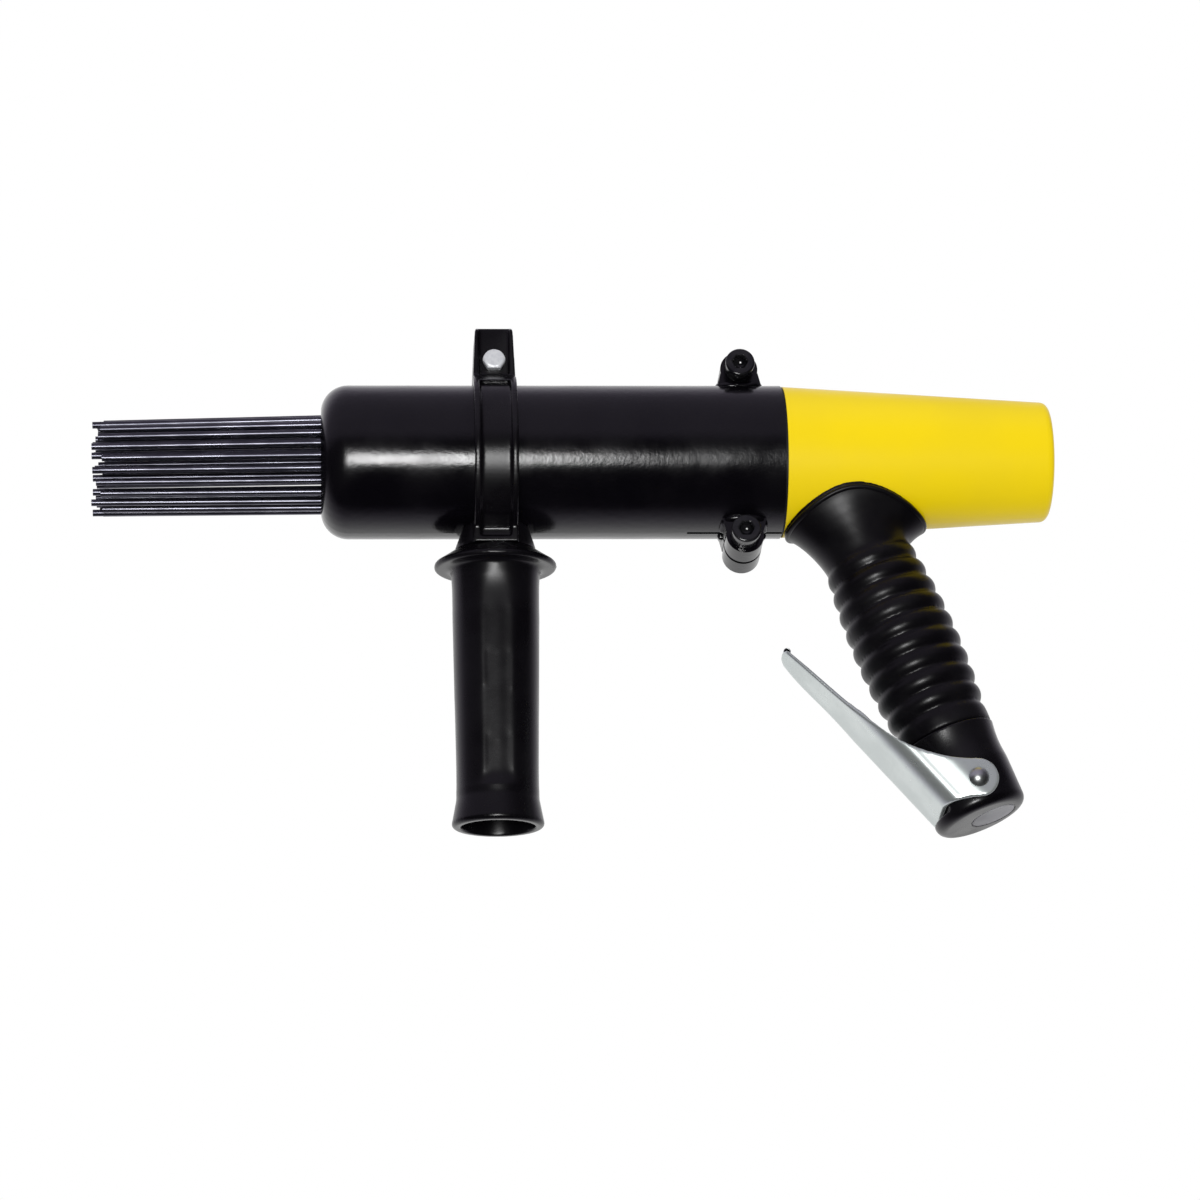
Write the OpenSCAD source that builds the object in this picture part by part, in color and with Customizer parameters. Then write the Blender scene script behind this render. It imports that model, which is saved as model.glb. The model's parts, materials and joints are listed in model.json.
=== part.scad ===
// Needle scaler with a pistol grip, a side handle and an air motor.
// Millimetres. The origin is the plane of the needle tips on the barrel axis.
// +X runs back along the barrel, +Z is up, and the grip leans down and back in the XZ plane.

/* [Barrel] */
// Outer diameter of the barrel tube
barrel_d = 68; // [64:1:80]
// Wall of the barrel tube
barrel_wall = 3; // [2.5:0.25:4]
// Length of the barrel tube
barrel_l = 203; // [195:1:230]
// Outer radius of the rounded nose
nose_round = 12; // [6:1:16]
// Thickness of the nose wall that the spring pushes on
nose_wall = 6; // [4:0.5:10]
// Diameter of the lugs that the clamp screws pull together
lug_d = 16.6; // [15:0.2:20]
// Length of a pair of lugs across the slit
lug_l = 24; // [20:1:30]
// Distance from the lug axis to the rear end of the barrel
lug_setback = 17.5; // [15:0.5:30]

/* [Needles] */
// Diameter of one needle
needle_d = 3; // [2:0.25:3.5]
// How far the needles stand out of the nose
needle_reach = 100; // [80:1:120]
// Distance between the rings of needles
ring_pitch = 7.05; // [6:0.05:7.2]
// Most that a tip is worn short
needle_wear = 5; // [0:0.5:8]
// Thickness of the needle holder
holder_l = 20; // [14:1:24]

/* [Motor] */
// Bore of the cylinder
cylinder_bore_d = 34; // [28:0.5:36]
// Length of the piston
piston_l = 62; // [50:1:66]
// Stroke of the piston
piston_stroke = 32; // [20:1:34]
// Length of the motor housing
housing_l = 118.5; // [112:0.5:140]
// Rear diameter of the motor housing
housing_rear_d = 53; // [48:0.5:60]
// Bore of the housing that takes the cylinder
motor_bore_d = 50; // [48:0.5:52]

/* [Grip] */
// Lean of the grip away from upright
grip_tilt = 20; // [15:0.5:26]
// Distance from the front of the housing to the grip axis
grip_setback = 19.5; // [18:0.5:26]
// Number of ribs on the boot
rib_count = 10; // [8:1:11]
// Distance between the ribs
rib_pitch = 8.8; // [8:0.1:10]
// Diameter over the ribs in the middle of the boot
rib_d = 46.6; // [44:0.1:50]
// Diameter over the ribs at the ends of the boot
rib_end_d = 41.2; // [40.6:0.1:44]
// Half length of the saddle flare, along the housing
flare_r = 29.8; // [27:0.1:30.5]
// Half width of the saddle flare, across the housing
flare_w = 24.8; // [22.5:0.1:27]
// Distance from the barrel axis to the first rib, down the grip
neck_s = 50.2; // [49:0.2:56]
// Diameter of the grip core tube
core_d = 28; // [24:0.5:28.5]
// Diameter of the throttle body
body_d = 41; // [40:0.5:43]
// Length of the throttle body below the boot
body_l = 38.9; // [37:0.1:48]

/* [Throttle lever] */
// Thickness of the lever sheet
lever_t = 2; // [1.5:0.25:2.5]
// Length of the lever along its front face
lever_l = 97; // [80:1:120]
// Angle between the lever and the grip axis
lever_splay = 20; // [17:0.5:24]
// Width of the lever tip
lever_tip_w = 8; // [6:0.5:16]
// Outer radius of the bend between the front face and an ear
lever_bend_r = 11; // [6:0.5:14]

/* [Side handle] */
// Distance from the nose to the side handle
handle_setback = 76.5; // [60:0.5:110]
// Swivel of the side handle on the barrel
handle_swivel = 7; // [-30:1:30]
// Length of the side grip
side_grip_l = 124; // [100:1:150]
// Diameter of the side grip below its flange
side_grip_d = 39; // [36:0.5:44]
// Diameter of the hollow in the side grip
side_hollow_d = 30; // [26:0.5:31]
// Diameter of the hand flange
flange_d = 54; // [46:1:60]
// Width of the clamp strap
strap_w = 19; // [16:0.5:24]
// Thickness of the clamp strap
strap_t = 4.5; // [4:0.25:7]

/* [Hidden] */
$fn = 72;

// Clearances and the overrun of every cut
over = 1;
fit = 0.05;
seat_gap = 0.15;
run_gap = 0.3;
// An outline runs on into a round end, this share of its radius past the middle and to the side
past_share = 0.3;
side_share = 0.9;

// Barrel places
barrel_r = barrel_d / 2;
barrel_bore_r = barrel_r - barrel_wall;
nose_x = needle_reach;
barrel_end = nose_x + barrel_l;
slit_w = 2;
slit_l = 42;
lug_rise = 6;
lug_z = barrel_r + lug_rise;
lug_x = barrel_end - lug_setback;
weld_w = 1.6;
weld_h = 4;
clamp_screw_d = 8;
clamp_head_d = 13;
clamp_head_l = 8;
clamp_head_edge = 0.8;
clamp_socket_d = 6.9;
clamp_socket_depth = 4;

// The needle heads keep one distance from the rear end of the barrel, where the motor starts,
// so the needles come out as long as the barrel and their reach ask for
pack_setback = 123;
needle_l = barrel_end - pack_setback;

// Needle places: rings around one needle in the middle
needle_ring_counts = [1, 7, 14, 23];
ring_count = len(needle_ring_counts) - 1;
bundle_r = ring_count * ring_pitch + needle_d / 2;
nose_clear = 1.2;
nose_bore_r = bundle_r + nose_clear;
needle_head_share = 1.5;
needle_head_d = needle_d * needle_head_share;
needle_head_l = 3;
needle_play = 0.4;
needle_droop = 1.05;
needle_gather = 0.65;
wear_turn = 137.5;
holder_back = needle_l - seat_gap;
holder_front = holder_back - holder_l;
holder_gap = 0.4;
holder_boss_l = 5;

// Return spring
spring_wire = 3.6;
spring_gap = 1;
spring_turn_gap = 0.8;
spring_r = barrel_bore_r - spring_gap - spring_wire / 2;
spring_from = nose_x + nose_wall + run_gap;
spring_to = holder_front + holder_boss_l - run_gap;
// Seven turns, or as many as a short barrel has room for
spring_most_turns = 7;
spring_room_turns = floor((spring_to - spring_from - spring_wire) / (spring_wire + spring_turn_gap));
spring_turns = min(spring_most_turns, spring_room_turns);
tube_sides = 6;
turn_rings = 24;
coil_room = 0.8;

// Anvil, cylinder and valve, from front to back
anvil_head_edge = 1.5;
anvil_head_r = bundle_r + anvil_head_edge;
anvil_head_l = 14;
anvil_stem_r = 13;
anvil_stem_l = 39;
anvil_edge = 2;
anvil_x = needle_l + needle_head_l + run_gap;
anvil_back = anvil_x + anvil_head_l;
buffer_l = 7;
bush_x = anvil_back + run_gap + buffer_l;
bush_wall = 7;
bush_r = anvil_stem_r + bush_wall;
bush_l = 30;
bore_x = bush_x + bush_l + seat_gap;
cylinder_bore_r = cylinder_bore_d / 2;
piston_x = anvil_back + anvil_stem_l + run_gap;
piston_nose_l = 3;
piston_groove_w = 3;
piston_groove_depth = 1.2;
piston_groove_share = 0.3;
port_setback = 12;
port_x = barrel_end - port_setback;
port_r = 2.5;
port_count = 4;
seal_l = 1;
housing_x = barrel_end + seal_l;
motor_bore_r = motor_bore_d / 2;
thread_l = 13;
sleeve_wall = 3.5;
stroke_room = 10;
cylinder_end = piston_x + piston_l + piston_stroke + stroke_room;
chest_l = 11;
chest_port_r = 2;
chest_port_share = 0.72;
plate_r = 12;
plate_t = 2;
plate_lift = 0.8;
valve_cover_l = 9;
valve_cover_port_r = 3;
rear_buffer_l = 5;
rear_buffer_hole_share = 0.6;
shoulder_x = cylinder_end + chest_l + valve_cover_l + rear_buffer_l + 3 * seat_gap;
pocket_r = 18;
rear_wall = 9;

// Housing cone
cone_step = 0.5;
housing_front_r = barrel_r - cone_step;
housing_rear_r = housing_rear_d / 2;
housing_end = housing_x + housing_l;
housing_edge = 3.5;
cone_angle = atan((housing_front_r - housing_rear_r) / housing_l);
function cone_r(x) = housing_front_r - (x - housing_x) * tan(cone_angle);

// Grip frame: local Z runs down the grip, local X points forward to the lever
grip_x = housing_x + grip_setback;
core_r = core_d / 2;
core_wall = 6.5;
core_floor = 1;
core_top = (motor_bore_r + core_r * sin(grip_tilt)) / cos(grip_tilt) + core_floor;
neck_gap = 1.2;
boss_end = neck_s - neck_gap;
core_engage = boss_end - core_top;
boss_wall = 2.5;
boss_r = core_r + boss_wall;
rib_r = rib_d / 2;
rib_end_r = rib_end_d / 2;
rib_round = 5.4;
rib_root = 2.6;
neck_grow = 1.2;
boot_skirt = 1.5;
boot_end = neck_s + rib_count * rib_pitch + boot_skirt;
neck_r = rib_end_r - rib_root + neck_grow;
function rib_top(share) = rib_end_r + (rib_r - rib_end_r) * (1 - pow(2 * share - 1, 2));
lip_t = 3.4;
lip_round = 0.8;
lip_share = 0.35;
lip_sink = 8;
flare_sides = 60;
flare_steps = 7;
flare_power = 1.5;
flare_center_s = 18;
flare_skew = 1.3;

// Throttle body
body_r = body_d / 2;
body_top = boot_end + seat_gap;
body_end = body_top + body_l;
body_edge = 4;
body_rim = 0.4;
recess_f = 14.95;
recess_low = 5;
waist_share = 0.22;
waist_depth = 0.7;
spigot_r = boss_r;
spigot_l = 14;
socket_l = 12;
core_end = body_top - spigot_l + socket_l - seat_gap;
valve_bore_r = 7;
valve_drop = 10;
valve_s = body_top + valve_drop;
valve_back = -17;
air_r = 4;
air_f = 5;
inlet_f = -5;
inlet_r = 7.475;
inlet_l = 14;
cap_r = 10;
cap_t = 4;
cap_edge = 0.4;
thread_end = body_end - cap_t - seat_gap;
thread_start = thread_end - inlet_l;
strainer_r = 6.5;
strainer_wall = 0.8;
strainer_flange = 0.8;
strainer_taper = 1.4;
strainer_l = thread_start - seat_gap - valve_s - valve_bore_r - run_gap;

// Throttle valve, along the forward axis
bush_front = recess_f - seat_gap;
guide_l = 6;
stem_r = 2;
chamber_r = 4.5;
seat_r = 3.6;
seat_t = 1.5;
bush_port_r = 2.5;
seal_groove_w = 2.2;
seal_groove_depth = 1.1;
seal_setback = 3.85;
seal_f = bush_front - seal_setback;
poppet_r = 5.2;
poppet_t = 3;
stem_seal_t = 1.2;
valve_wire = 1;
valve_spring_r = 3.6;
valve_turns = 5;

// Lever and its pins
pivot_rise = 12.1;
pivot_s = body_end - pivot_rise;
ear_gap = 0.35;
ear_in = body_r + ear_gap;
ear_out = ear_in + lever_t;
ear_r = 8.8;
ear_sides = 24;
lever_room = 0.6;
lever_foot = 4.4;
lever_front = recess_f + lever_room + lever_t / cos(lever_splay) + lever_foot * tan(lever_splay);
lever_low = lever_front + ear_r;
lever_full_l = 30;
lever_depth = 60;
notch_r = 54.8;
notch_turn = 18;
pin_r = 3;
pin_depth = 9;
pin_head_r = 4.4;
pin_head_h = 2.4;
web_inner_f = lever_front + (pivot_s - valve_s) * tan(lever_splay) - lever_t / cos(lever_splay);
stem_tip_f = web_inner_f - run_gap - stem_r * tan(lever_splay);

// Side handle
handle_x = nose_x + handle_setback;
strap_r = barrel_r + strap_t;
strap_gap = 0.1;
split_w = 3;
clamp_lug_rise = 23.8;
clamp_lug_top = barrel_r + clamp_lug_rise;
clamp_lug_r = 13;
clamp_lug_taper = 1.1;
clamp_lug_edge = 1.5;
clamp_bolt_d = 6;
clamp_bolt_rise = 10.2;
clamp_bolt_z = barrel_r + clamp_bolt_rise;
clamp_hex_d = 11.2;
clamp_hex_l = 4.2;
hex_round_share = 1.06;
clamp_nut_l = 5;
pocket_w = 13.4;
pocket_depth = 3;
pocket_rise = 2.8;
pocket_low = barrel_r + pocket_rise;
channel_w = 13.4;
channel_depth = 1.8;
channel_drop = 3;
channel_top = barrel_r - channel_drop;
channel_low = 30;
foot_w = 36;
foot_drop = 7;
foot_z = barrel_r + foot_drop;
flare_top = 7;
grip_top = foot_z + seat_gap;
side_grip_r = side_grip_d / 2;
side_taper = 1.45;
flange_r = flange_d / 2;
flange_drop = 6.8;
flange_edge = 1.6;
flange_foot = 6;
rim_grow = 2.1;
rim_l = 12.5;
rim_edge = 1.8;
side_hollow_r = side_hollow_d / 2;
side_mouth = 1.2;
side_web = 18;
panel_channel_w = 11.4;
panel_channel_depth = 1.3;
panel_top_gap = 14;
panel_low_gap = 18;
panel_foot_w = 1.2;
panel_foot_l = 6;
handle_bolt_d = 8;
handle_hex_d = 15;
handle_hex_l = 5.3;
handle_washer_r = 8;
handle_washer_t = 1.6;
bolt_end_gap = 1;

// A profile drawn as [radius, place along the barrel], turned about the barrel axis
module turned() rotate([0, 90, 0]) rotate_extrude() children();

module band(r0, r1, from, to) translate([r0, from]) square([r1 - r0, to - from]);

module on_grip() translate([grip_x, 0, 0]) rotate([0, 180 - grip_tilt, 0]) children();

module on_handle() rotate([handle_swivel, 0, 0]) translate([handle_x, 0, 0]) children();

// Round bar along the forward axis of the grip, at the height of the throttle valve
module forward_bar(r, from, to) translate([from, 0, valve_s]) rotate([0, 90, 0])
    cylinder(r = r, h = to - from);

// Round bar across the part, from y0 to y1
module cross_bar(r, y0, y1) translate([0, y0, 0]) rotate([-90, 0, 0]) cylinder(r = r, h = y1 - y0);

// Wire wound along +Z: close turns at both ends and open ones between them
function coil_rise(turn, turns, wire, l, gap) = let (
    close = wire + gap,
    open = (l - wire - 2 * close) / (turns - 2)
) wire / 2 + (turn < 1 ? close * turn
    : turn > turns - 1 ? l - wire - close * (turns - turn)
    : close + open * (turn - 1));

function coil_path(r, wire, turns, l, gap) = [
    for (i = [0 : turns * turn_rings])
        let (turn = i / turn_rings)
        [r * cos(360 * turn), r * sin(360 * turn), coil_rise(turn, turns, wire, l, gap)]
];

module wire_coil(r, wire, turns, l, gap) {
    path = coil_path(r, wire, turns, l, gap);
    rings = len(path);
    points = [
        for (i = [0 : rings - 1], side = [0 : tube_sides - 1])
            let (turn = 360 * i / turn_rings, a = 360 * side / tube_sides, wide = r + wire / 2 * cos(a))
            [wide * cos(turn), wide * sin(turn), path[i][2] + wire / 2 * sin(a)]
    ];
    sides = [
        for (i = [0 : rings - 2], side = [0 : tube_sides - 1])
            let (a = i * tube_sides + side, b = i * tube_sides + (side + 1) % tube_sides)
            each [[a, a + tube_sides, b], [b, a + tube_sides, b + tube_sides]]
    ];
    last = (rings - 1) * tube_sides;
    ends = [for (k = [1 : tube_sides - 2]) each [[0, k, k + 1], [last, last + k + 1, last + k]]];
    polyhedron(points, concat(sides, ends));
}

// Least distance between the skins of turns that lie next to each other
function coil_gap(path, wire) = min([
    for (i = [0 : len(path) - turn_rings / 2 - 1], k = [i + turn_rings / 2 : len(path) - 1])
        norm(path[i] - path[k]) - wire
]);

module barrel_outline() {
    band(0, barrel_r, nose_x + nose_round, barrel_end);
    band(0, barrel_r - nose_round, nose_x, nose_x + nose_round + over);
    translate([barrel_r - nose_round, nose_x + nose_round]) circle(nose_round);
}

// One pair of clamp lugs on the +Z side, with its weld
module lug_pair() {
    translate([lug_x, 0, lug_z]) cross_bar(lug_d / 2, -lug_l / 2, lug_l / 2);
    weld_top = barrel_r + weld_h;
    weld_x = lug_d / 2 + weld_w;
    translate([lug_x, lug_l / 2, 0]) rotate([90, 0, 0]) linear_extrude(height = lug_l)
        polygon([[-weld_x, barrel_bore_r], [weld_x, barrel_bore_r],
            [lug_d / 2, weld_top], [-lug_d / 2, weld_top]]);
}

module barrel_tube() color("#101013") difference() {
    union() {
        turned() barrel_outline();
        lug_pair();
        mirror([0, 0, 1]) lug_pair();
    }
    turned() band(0, barrel_bore_r, nose_x + nose_wall, barrel_end + over);
    turned() band(0, nose_bore_r, nose_x - over, nose_x + nose_wall + over);
    translate([barrel_end - slit_l, -slit_w / 2, -lug_z - lug_d])
        cube([slit_l + over, slit_w, 2 * (lug_z + lug_d)]);
    for (side = [-1, 1]) translate([lug_x, 0, side * lug_z])
        cross_bar(clamp_screw_d / 2 + fit, -lug_l, lug_l);
}

module clamp_screw() {
    cross_bar(clamp_screw_d / 2, -lug_l / 2 - over, lug_l / 2 - over);
    translate([0, -lug_l / 2 - seat_gap, 0]) rotate([90, 0, 0]) difference() {
        rotate_extrude() {
            band(0, clamp_head_d / 2, 0, clamp_head_l - clamp_head_edge);
            band(0, clamp_head_d / 2 - clamp_head_edge, 0, clamp_head_l);
            translate([clamp_head_d / 2 - clamp_head_edge, clamp_head_l - clamp_head_edge])
                circle(clamp_head_edge);
        }
        translate([0, 0, clamp_head_l - clamp_socket_depth])
            cylinder(d = clamp_socket_d, h = clamp_socket_depth + over, $fn = 6);
    }
}

module barrel_clamp_screws() color("#1c1c20")
    for (side = [-1, 1]) translate([lug_x, 0, side * lug_z]) clamp_screw();

// Places of the needles across the barrel, as [y, z, running number]
needle_spots = [
    for (ring = [0 : ring_count], i = [0 : needle_ring_counts[ring] - 1])
        let (a = 360 * i / needle_ring_counts[ring] + 90 * ring)
        [ring * ring_pitch * cos(a), ring * ring_pitch * sin(a), ring * needle_ring_counts[ring] + i]
];

module needle(worn) {
    translate([worn, 0, 0]) rotate([0, 90, 0]) cylinder(d = needle_d, h = needle_l + over - worn);
    translate([needle_l, 0, 0]) rotate([0, 90, 0])
        cylinder(d = needle_head_d, h = needle_head_l - seat_gap);
}

module needles() color("#4a4d55") {
    pivot_x = needle_l - holder_l / 2;
    for (spot = needle_spots) {
        lean = needle_droop + needle_gather * spot[1] / bundle_r;
        worn = needle_wear * (1 + sin(wear_turn * spot[2])) / 2;
        translate([pivot_x, spot[0], spot[1]]) rotate([0, -lean, 0])
            translate([-pivot_x, 0, 0]) needle(worn);
    }
}

module needle_holder() color("#7d8088") difference() {
    turned() {
        band(0, barrel_bore_r - holder_gap, holder_front + holder_boss_l, holder_back);
        band(0, spring_r - spring_wire / 2 - coil_room, holder_front, holder_back);
    }
    for (spot = needle_spots) translate([holder_front - over, spot[0], spot[1]]) rotate([0, 90, 0])
        cylinder(r = needle_d / 2 + needle_play, h = holder_l + 2 * over);
}

module return_spring() color("#5d6066") translate([spring_from, 0, 0]) rotate([0, 90, 0])
    wire_coil(spring_r, spring_wire, spring_turns, spring_to - spring_from, spring_turn_gap);

module anvil() color("#8d9098") turned() {
    band(0, anvil_head_r, anvil_x, anvil_back - anvil_edge);
    band(0, anvil_head_r - anvil_edge, anvil_x, anvil_back);
    translate([anvil_head_r - anvil_edge, anvil_back - anvil_edge]) circle(anvil_edge);
    band(0, anvil_stem_r, anvil_x, anvil_back + anvil_stem_l);
}

module anvil_bush() color("#b08d45") turned()
    band(anvil_stem_r + fit, bush_r, bush_x, bush_x + bush_l);

module anvil_buffer() color("#18181a") turned()
    band(anvil_stem_r + run_gap, anvil_head_r, bush_x - buffer_l, bush_x - seat_gap);

module cylinder_profile() difference() {
    union() {
        band(0, barrel_bore_r - fit, bush_x, barrel_end);
        band(0, motor_bore_r - fit, bush_x, housing_x + thread_l);
        band(0, cylinder_bore_r + sleeve_wall, bush_x, cylinder_end);
    }
    band(0, bush_r + fit, bush_x - over, bore_x);
    band(0, cylinder_bore_r, bore_x - over, cylinder_end + over);
}

module cylinder_body() color("#85888f") difference() {
    turned() cylinder_profile();
    for (i = [0 : port_count - 1]) rotate([360 * (i + 1 / 2) / port_count, 0, 0]) {
        translate([bush_x - over, 0, barrel_bore_r]) rotate([0, 90, 0])
            cylinder(r = port_r, h = port_x - bush_x + over);
        translate([port_x, 0, 0]) cylinder(r = port_r, h = barrel_bore_r);
    }
}

module piston() color("#a5a8ae") turned() difference() {
    union() {
        band(0, cylinder_bore_r - fit, piston_x + piston_nose_l, piston_x + piston_l);
        band(0, anvil_stem_r, piston_x, piston_x + piston_l);
    }
    for (end_share = [piston_groove_share, 1 - piston_groove_share])
        translate([0, piston_x + end_share * piston_l])
            band(cylinder_bore_r - piston_groove_depth, cylinder_bore_r + over, 0, piston_groove_w);
}

chest_x = cylinder_end + seat_gap;
plate_room_x = chest_x + chest_l - plate_t - plate_lift - 2 * seat_gap;

module chest_ports(r, share, from, to) for (i = [0 : port_count - 1]) rotate([360 * i / port_count, 0, 0])
    translate([from, 0, share * motor_bore_r]) rotate([0, 90, 0]) cylinder(r = r, h = to - from);

module valve_chest() color("#6f7279") difference() {
    turned() difference() {
        band(0, motor_bore_r - fit, chest_x, chest_x + chest_l);
        band(0, plate_r + run_gap, plate_room_x, chest_x + chest_l + over);
        band(0, plate_r - plate_t, chest_x - over, plate_room_x + over);
    }
    chest_ports(chest_port_r, chest_port_share, chest_x - over, chest_x + chest_l + over);
}

module valve_plate() color("#9a9da3") turned()
    band(0, plate_r, plate_room_x + seat_gap, plate_room_x + seat_gap + plate_t);

valve_cover_x = chest_x + chest_l + seat_gap;

module valve_cover() color("#6f7279") difference() {
    turned() band(0, motor_bore_r - fit, valve_cover_x, valve_cover_x + valve_cover_l);
    turned() band(0, valve_cover_port_r, valve_cover_x - over, valve_cover_x + valve_cover_l + over);
    chest_ports(chest_port_r, chest_port_share, valve_cover_x - over, valve_cover_x + valve_cover_l + over);
}

module rear_buffer() color("#18181a") turned()
    band(rear_buffer_hole_share * motor_bore_r, motor_bore_r - fit,
        shoulder_x - rear_buffer_l, shoulder_x - seat_gap);

module housing_outline() {
    x_c = housing_end - housing_edge;
    r_c = cone_r(x_c) - housing_edge / cos(cone_angle);
    polygon([[0, housing_x], [housing_front_r, housing_x],
        [r_c + housing_edge * cos(cone_angle), x_c + housing_edge * sin(cone_angle)],
        [r_c, housing_end], [0, housing_end]]);
    translate([r_c, x_c]) circle(housing_edge);
}

module motor_housing() color("#efd200") difference() {
    union() {
        turned() housing_outline();
        on_grip() cylinder(r = boss_r, h = boss_end);
    }
    turned() band(0, motor_bore_r, housing_x - over, shoulder_x);
    turned() band(0, pocket_r, housing_x, housing_end - rear_wall);
    on_grip() translate([0, 0, core_top]) cylinder(r = core_r + fit, h = core_engage + over);
    on_grip() cylinder(r = core_r - core_wall, h = boss_end);
}

module joint_seal() color("#0c0c0e") turned()
    band(motor_bore_r + fit, housing_front_r - cone_step, barrel_end + fit, housing_x - fit);

module grip_core() color("#9ea1a6") on_grip() difference() {
    translate([0, 0, core_top + fit]) cylinder(r = core_r, h = core_end - core_top);
    cylinder(r = core_r - core_wall, h = body_end);
}

// Where the flare's lip meets the housing cone, down the grip, at an angle about the grip axis
function flare_at(a) = let (w = flare_w - flare_skew * cos(a))
    flare_r * w / norm([w * cos(a), flare_r * sin(a)]);
function cone_meet(a, cone) = let (y = flare_at(a) * sin(a), f = flare_at(a) * cos(a))
    (sqrt(max(cone * cone - y * y, 0)) - f * sin(grip_tilt)) / cos(grip_tilt);
function meet_x(a, s) = grip_x + s * sin(grip_tilt) - flare_at(a) * cos(a) * cos(grip_tilt);
function lip_s(a) = cone_meet(a, cone_r(meet_x(a, cone_meet(a, housing_front_r))));

// The flare at one angle: a short upright lip, then a hollow sweep in to the neck
function flare_profile(a) = let (
    wide = flare_at(a),
    top = lip_s(a),
    low = top + lip_t,
    drop = neck_s - low
) concat(
    [[wide, top - lip_sink], [wide, top + lip_share * lip_t]],
    [for (k = [0 : flare_steps])
        let (u = 90 * k / flare_steps)
        [neck_r + (wide - neck_r - lip_round) * (1 - pow(sin(u), flare_power)),
            low + drop * (1 - pow(cos(u), flare_power))]],
    [[rib_end_r - rib_round / 2, neck_s + neck_gap]]
);

module flare() {
    rings = flare_steps + 4;
    points = concat(
        [for (ring = [0 : rings - 1], i = [0 : flare_sides - 1])
            let (a = 360 * i / flare_sides, spot = flare_profile(a)[ring])
            [spot[0] * cos(a), spot[0] * sin(a), spot[1]]],
        [[0, 0, flare_center_s], [0, 0, neck_s + neck_gap]]
    );
    top = rings * flare_sides;
    walls = [for (ring = [0 : rings - 2], i = [0 : flare_sides - 1])
        let (a = ring * flare_sides + i, b = ring * flare_sides + (i + 1) % flare_sides)
        each [[a, a + flare_sides, b], [b, a + flare_sides, b + flare_sides]]];
    last = (rings - 1) * flare_sides;
    caps = [for (i = [0 : flare_sides - 1])
        let (next = (i + 1) % flare_sides)
        each [[top, i, next], [top + 1, last + next, last + i]]];
    polyhedron(points, concat(walls, caps));
}

// Ribs that swell towards the middle of the boot, then a short skirt
module rib_profile() {
    band(0, rib_end_r - rib_root, neck_s - neck_gap, boot_end);
    for (i = [0 : rib_count - 1])
        translate([rib_top(i / (rib_count - 1)) - rib_round, neck_s + rib_pitch * (i + 1 / 2)])
            circle(rib_round);
    band(0, rib_end_r, boot_end - boot_skirt - rib_pitch / 2, boot_end);
}

module grip_boot() color("#141416") difference() {
    on_grip() union() {
        flare();
        rotate_extrude() rib_profile();
    }
    turned() polygon([[0, lug_x], [barrel_r + seat_gap, lug_x], [barrel_r + seat_gap, housing_x],
        [housing_front_r + seat_gap, housing_x], [cone_r(housing_end) + seat_gap, housing_end],
        [0, housing_end]]);
    on_grip() cylinder(r = boss_r + fit, h = boss_end + seat_gap);
    on_grip() cylinder(r = core_r + fit, h = boot_end + over);
    on_grip() translate([0, 0, body_top - spigot_l - seat_gap])
        cylinder(r = spigot_r + fit, h = spigot_l + over);
}

// Outline of the throttle body: shallow waist under the boot, round lower edge
function waist_at(share) = share < 2 * waist_share
    ? body_r + body_rim * (1 - share / waist_share / 2) - waist_depth * sin(90 * share / waist_share)
    : body_r;

module throttle_body_profile() {
    low = body_end - body_edge;
    polygon(concat(
        [[0, body_top - spigot_l], [spigot_r, body_top - spigot_l], [spigot_r, body_top]],
        [for (k = [0 : 8]) let (share = waist_share * k / 4) [waist_at(share), body_top + share * body_l]],
        [[body_r, low], [body_r - body_edge, body_end], [0, body_end]]
    ));
    translate([body_r - body_edge, low]) circle(body_edge);
}

module throttle_body() color("#17171a") on_grip() difference() {
    rotate_extrude() throttle_body_profile();
    translate([0, 0, body_top - spigot_l - over]) cylinder(r = core_r + fit, h = socket_l + over);
    translate([air_f, 0, core_end - over]) cylinder(r = air_r, h = valve_s - core_end);
    forward_bar(valve_bore_r, valve_back, body_r + over);
    translate([recess_f, -body_r, body_top + recess_low])
        cube([body_r, body_d, body_l - 2 * recess_low]);
    translate([inlet_f, 0, valve_s]) cylinder(r = strainer_r, h = thread_start - valve_s + over);
    translate([inlet_f, 0, thread_start]) cylinder(r = inlet_r, h = inlet_l + over);
    translate([inlet_f, 0, thread_end]) cylinder(r = cap_r + fit, h = cap_t + over);
    for (side = [-1, 1]) translate([0, 0, pivot_s]) rotate([-90 * side, 0, 0])
        translate([0, 0, body_r - pin_depth - seat_gap])
            cylinder(r = pin_r + fit / 2, h = pin_depth + over);
}

module valve_bush() color("#b08d45") on_grip() difference() {
    forward_bar(valve_bore_r - fit, 0, bush_front);
    forward_bar(stem_r + fit, -over, bush_front + over);
    forward_bar(seat_r, -over, seat_t + over);
    forward_bar(chamber_r, seat_t, bush_front - guide_l);
    translate([air_f, 0, valve_s - valve_bore_r - over]) cylinder(r = bush_port_r, h = valve_bore_r + over);
    difference() {
        forward_bar(valve_bore_r + over, seal_f, seal_f + seal_groove_w);
        forward_bar(valve_bore_r - seal_groove_depth, seal_f - over, seal_f + seal_groove_w + over);
    }
}

module bush_seal() color("#18181a") on_grip() difference() {
    forward_bar(valve_bore_r - fit, seal_f + fit, seal_f + seal_groove_w - fit);
    forward_bar(valve_bore_r - seal_groove_depth + fit, seal_f - over, seal_f + seal_groove_w + over);
}

module valve_stem() color("#a5a8ae") on_grip() {
    forward_bar(stem_r, -stem_seal_t - run_gap, stem_tip_f);
    forward_bar(poppet_r, -stem_seal_t - run_gap - poppet_t, -stem_seal_t - run_gap);
}

module stem_seal() color("#18181a") on_grip() difference() {
    forward_bar(poppet_r, fit - stem_seal_t - run_gap, -run_gap);
    forward_bar(stem_r + fit, -poppet_r, over);
}

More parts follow.
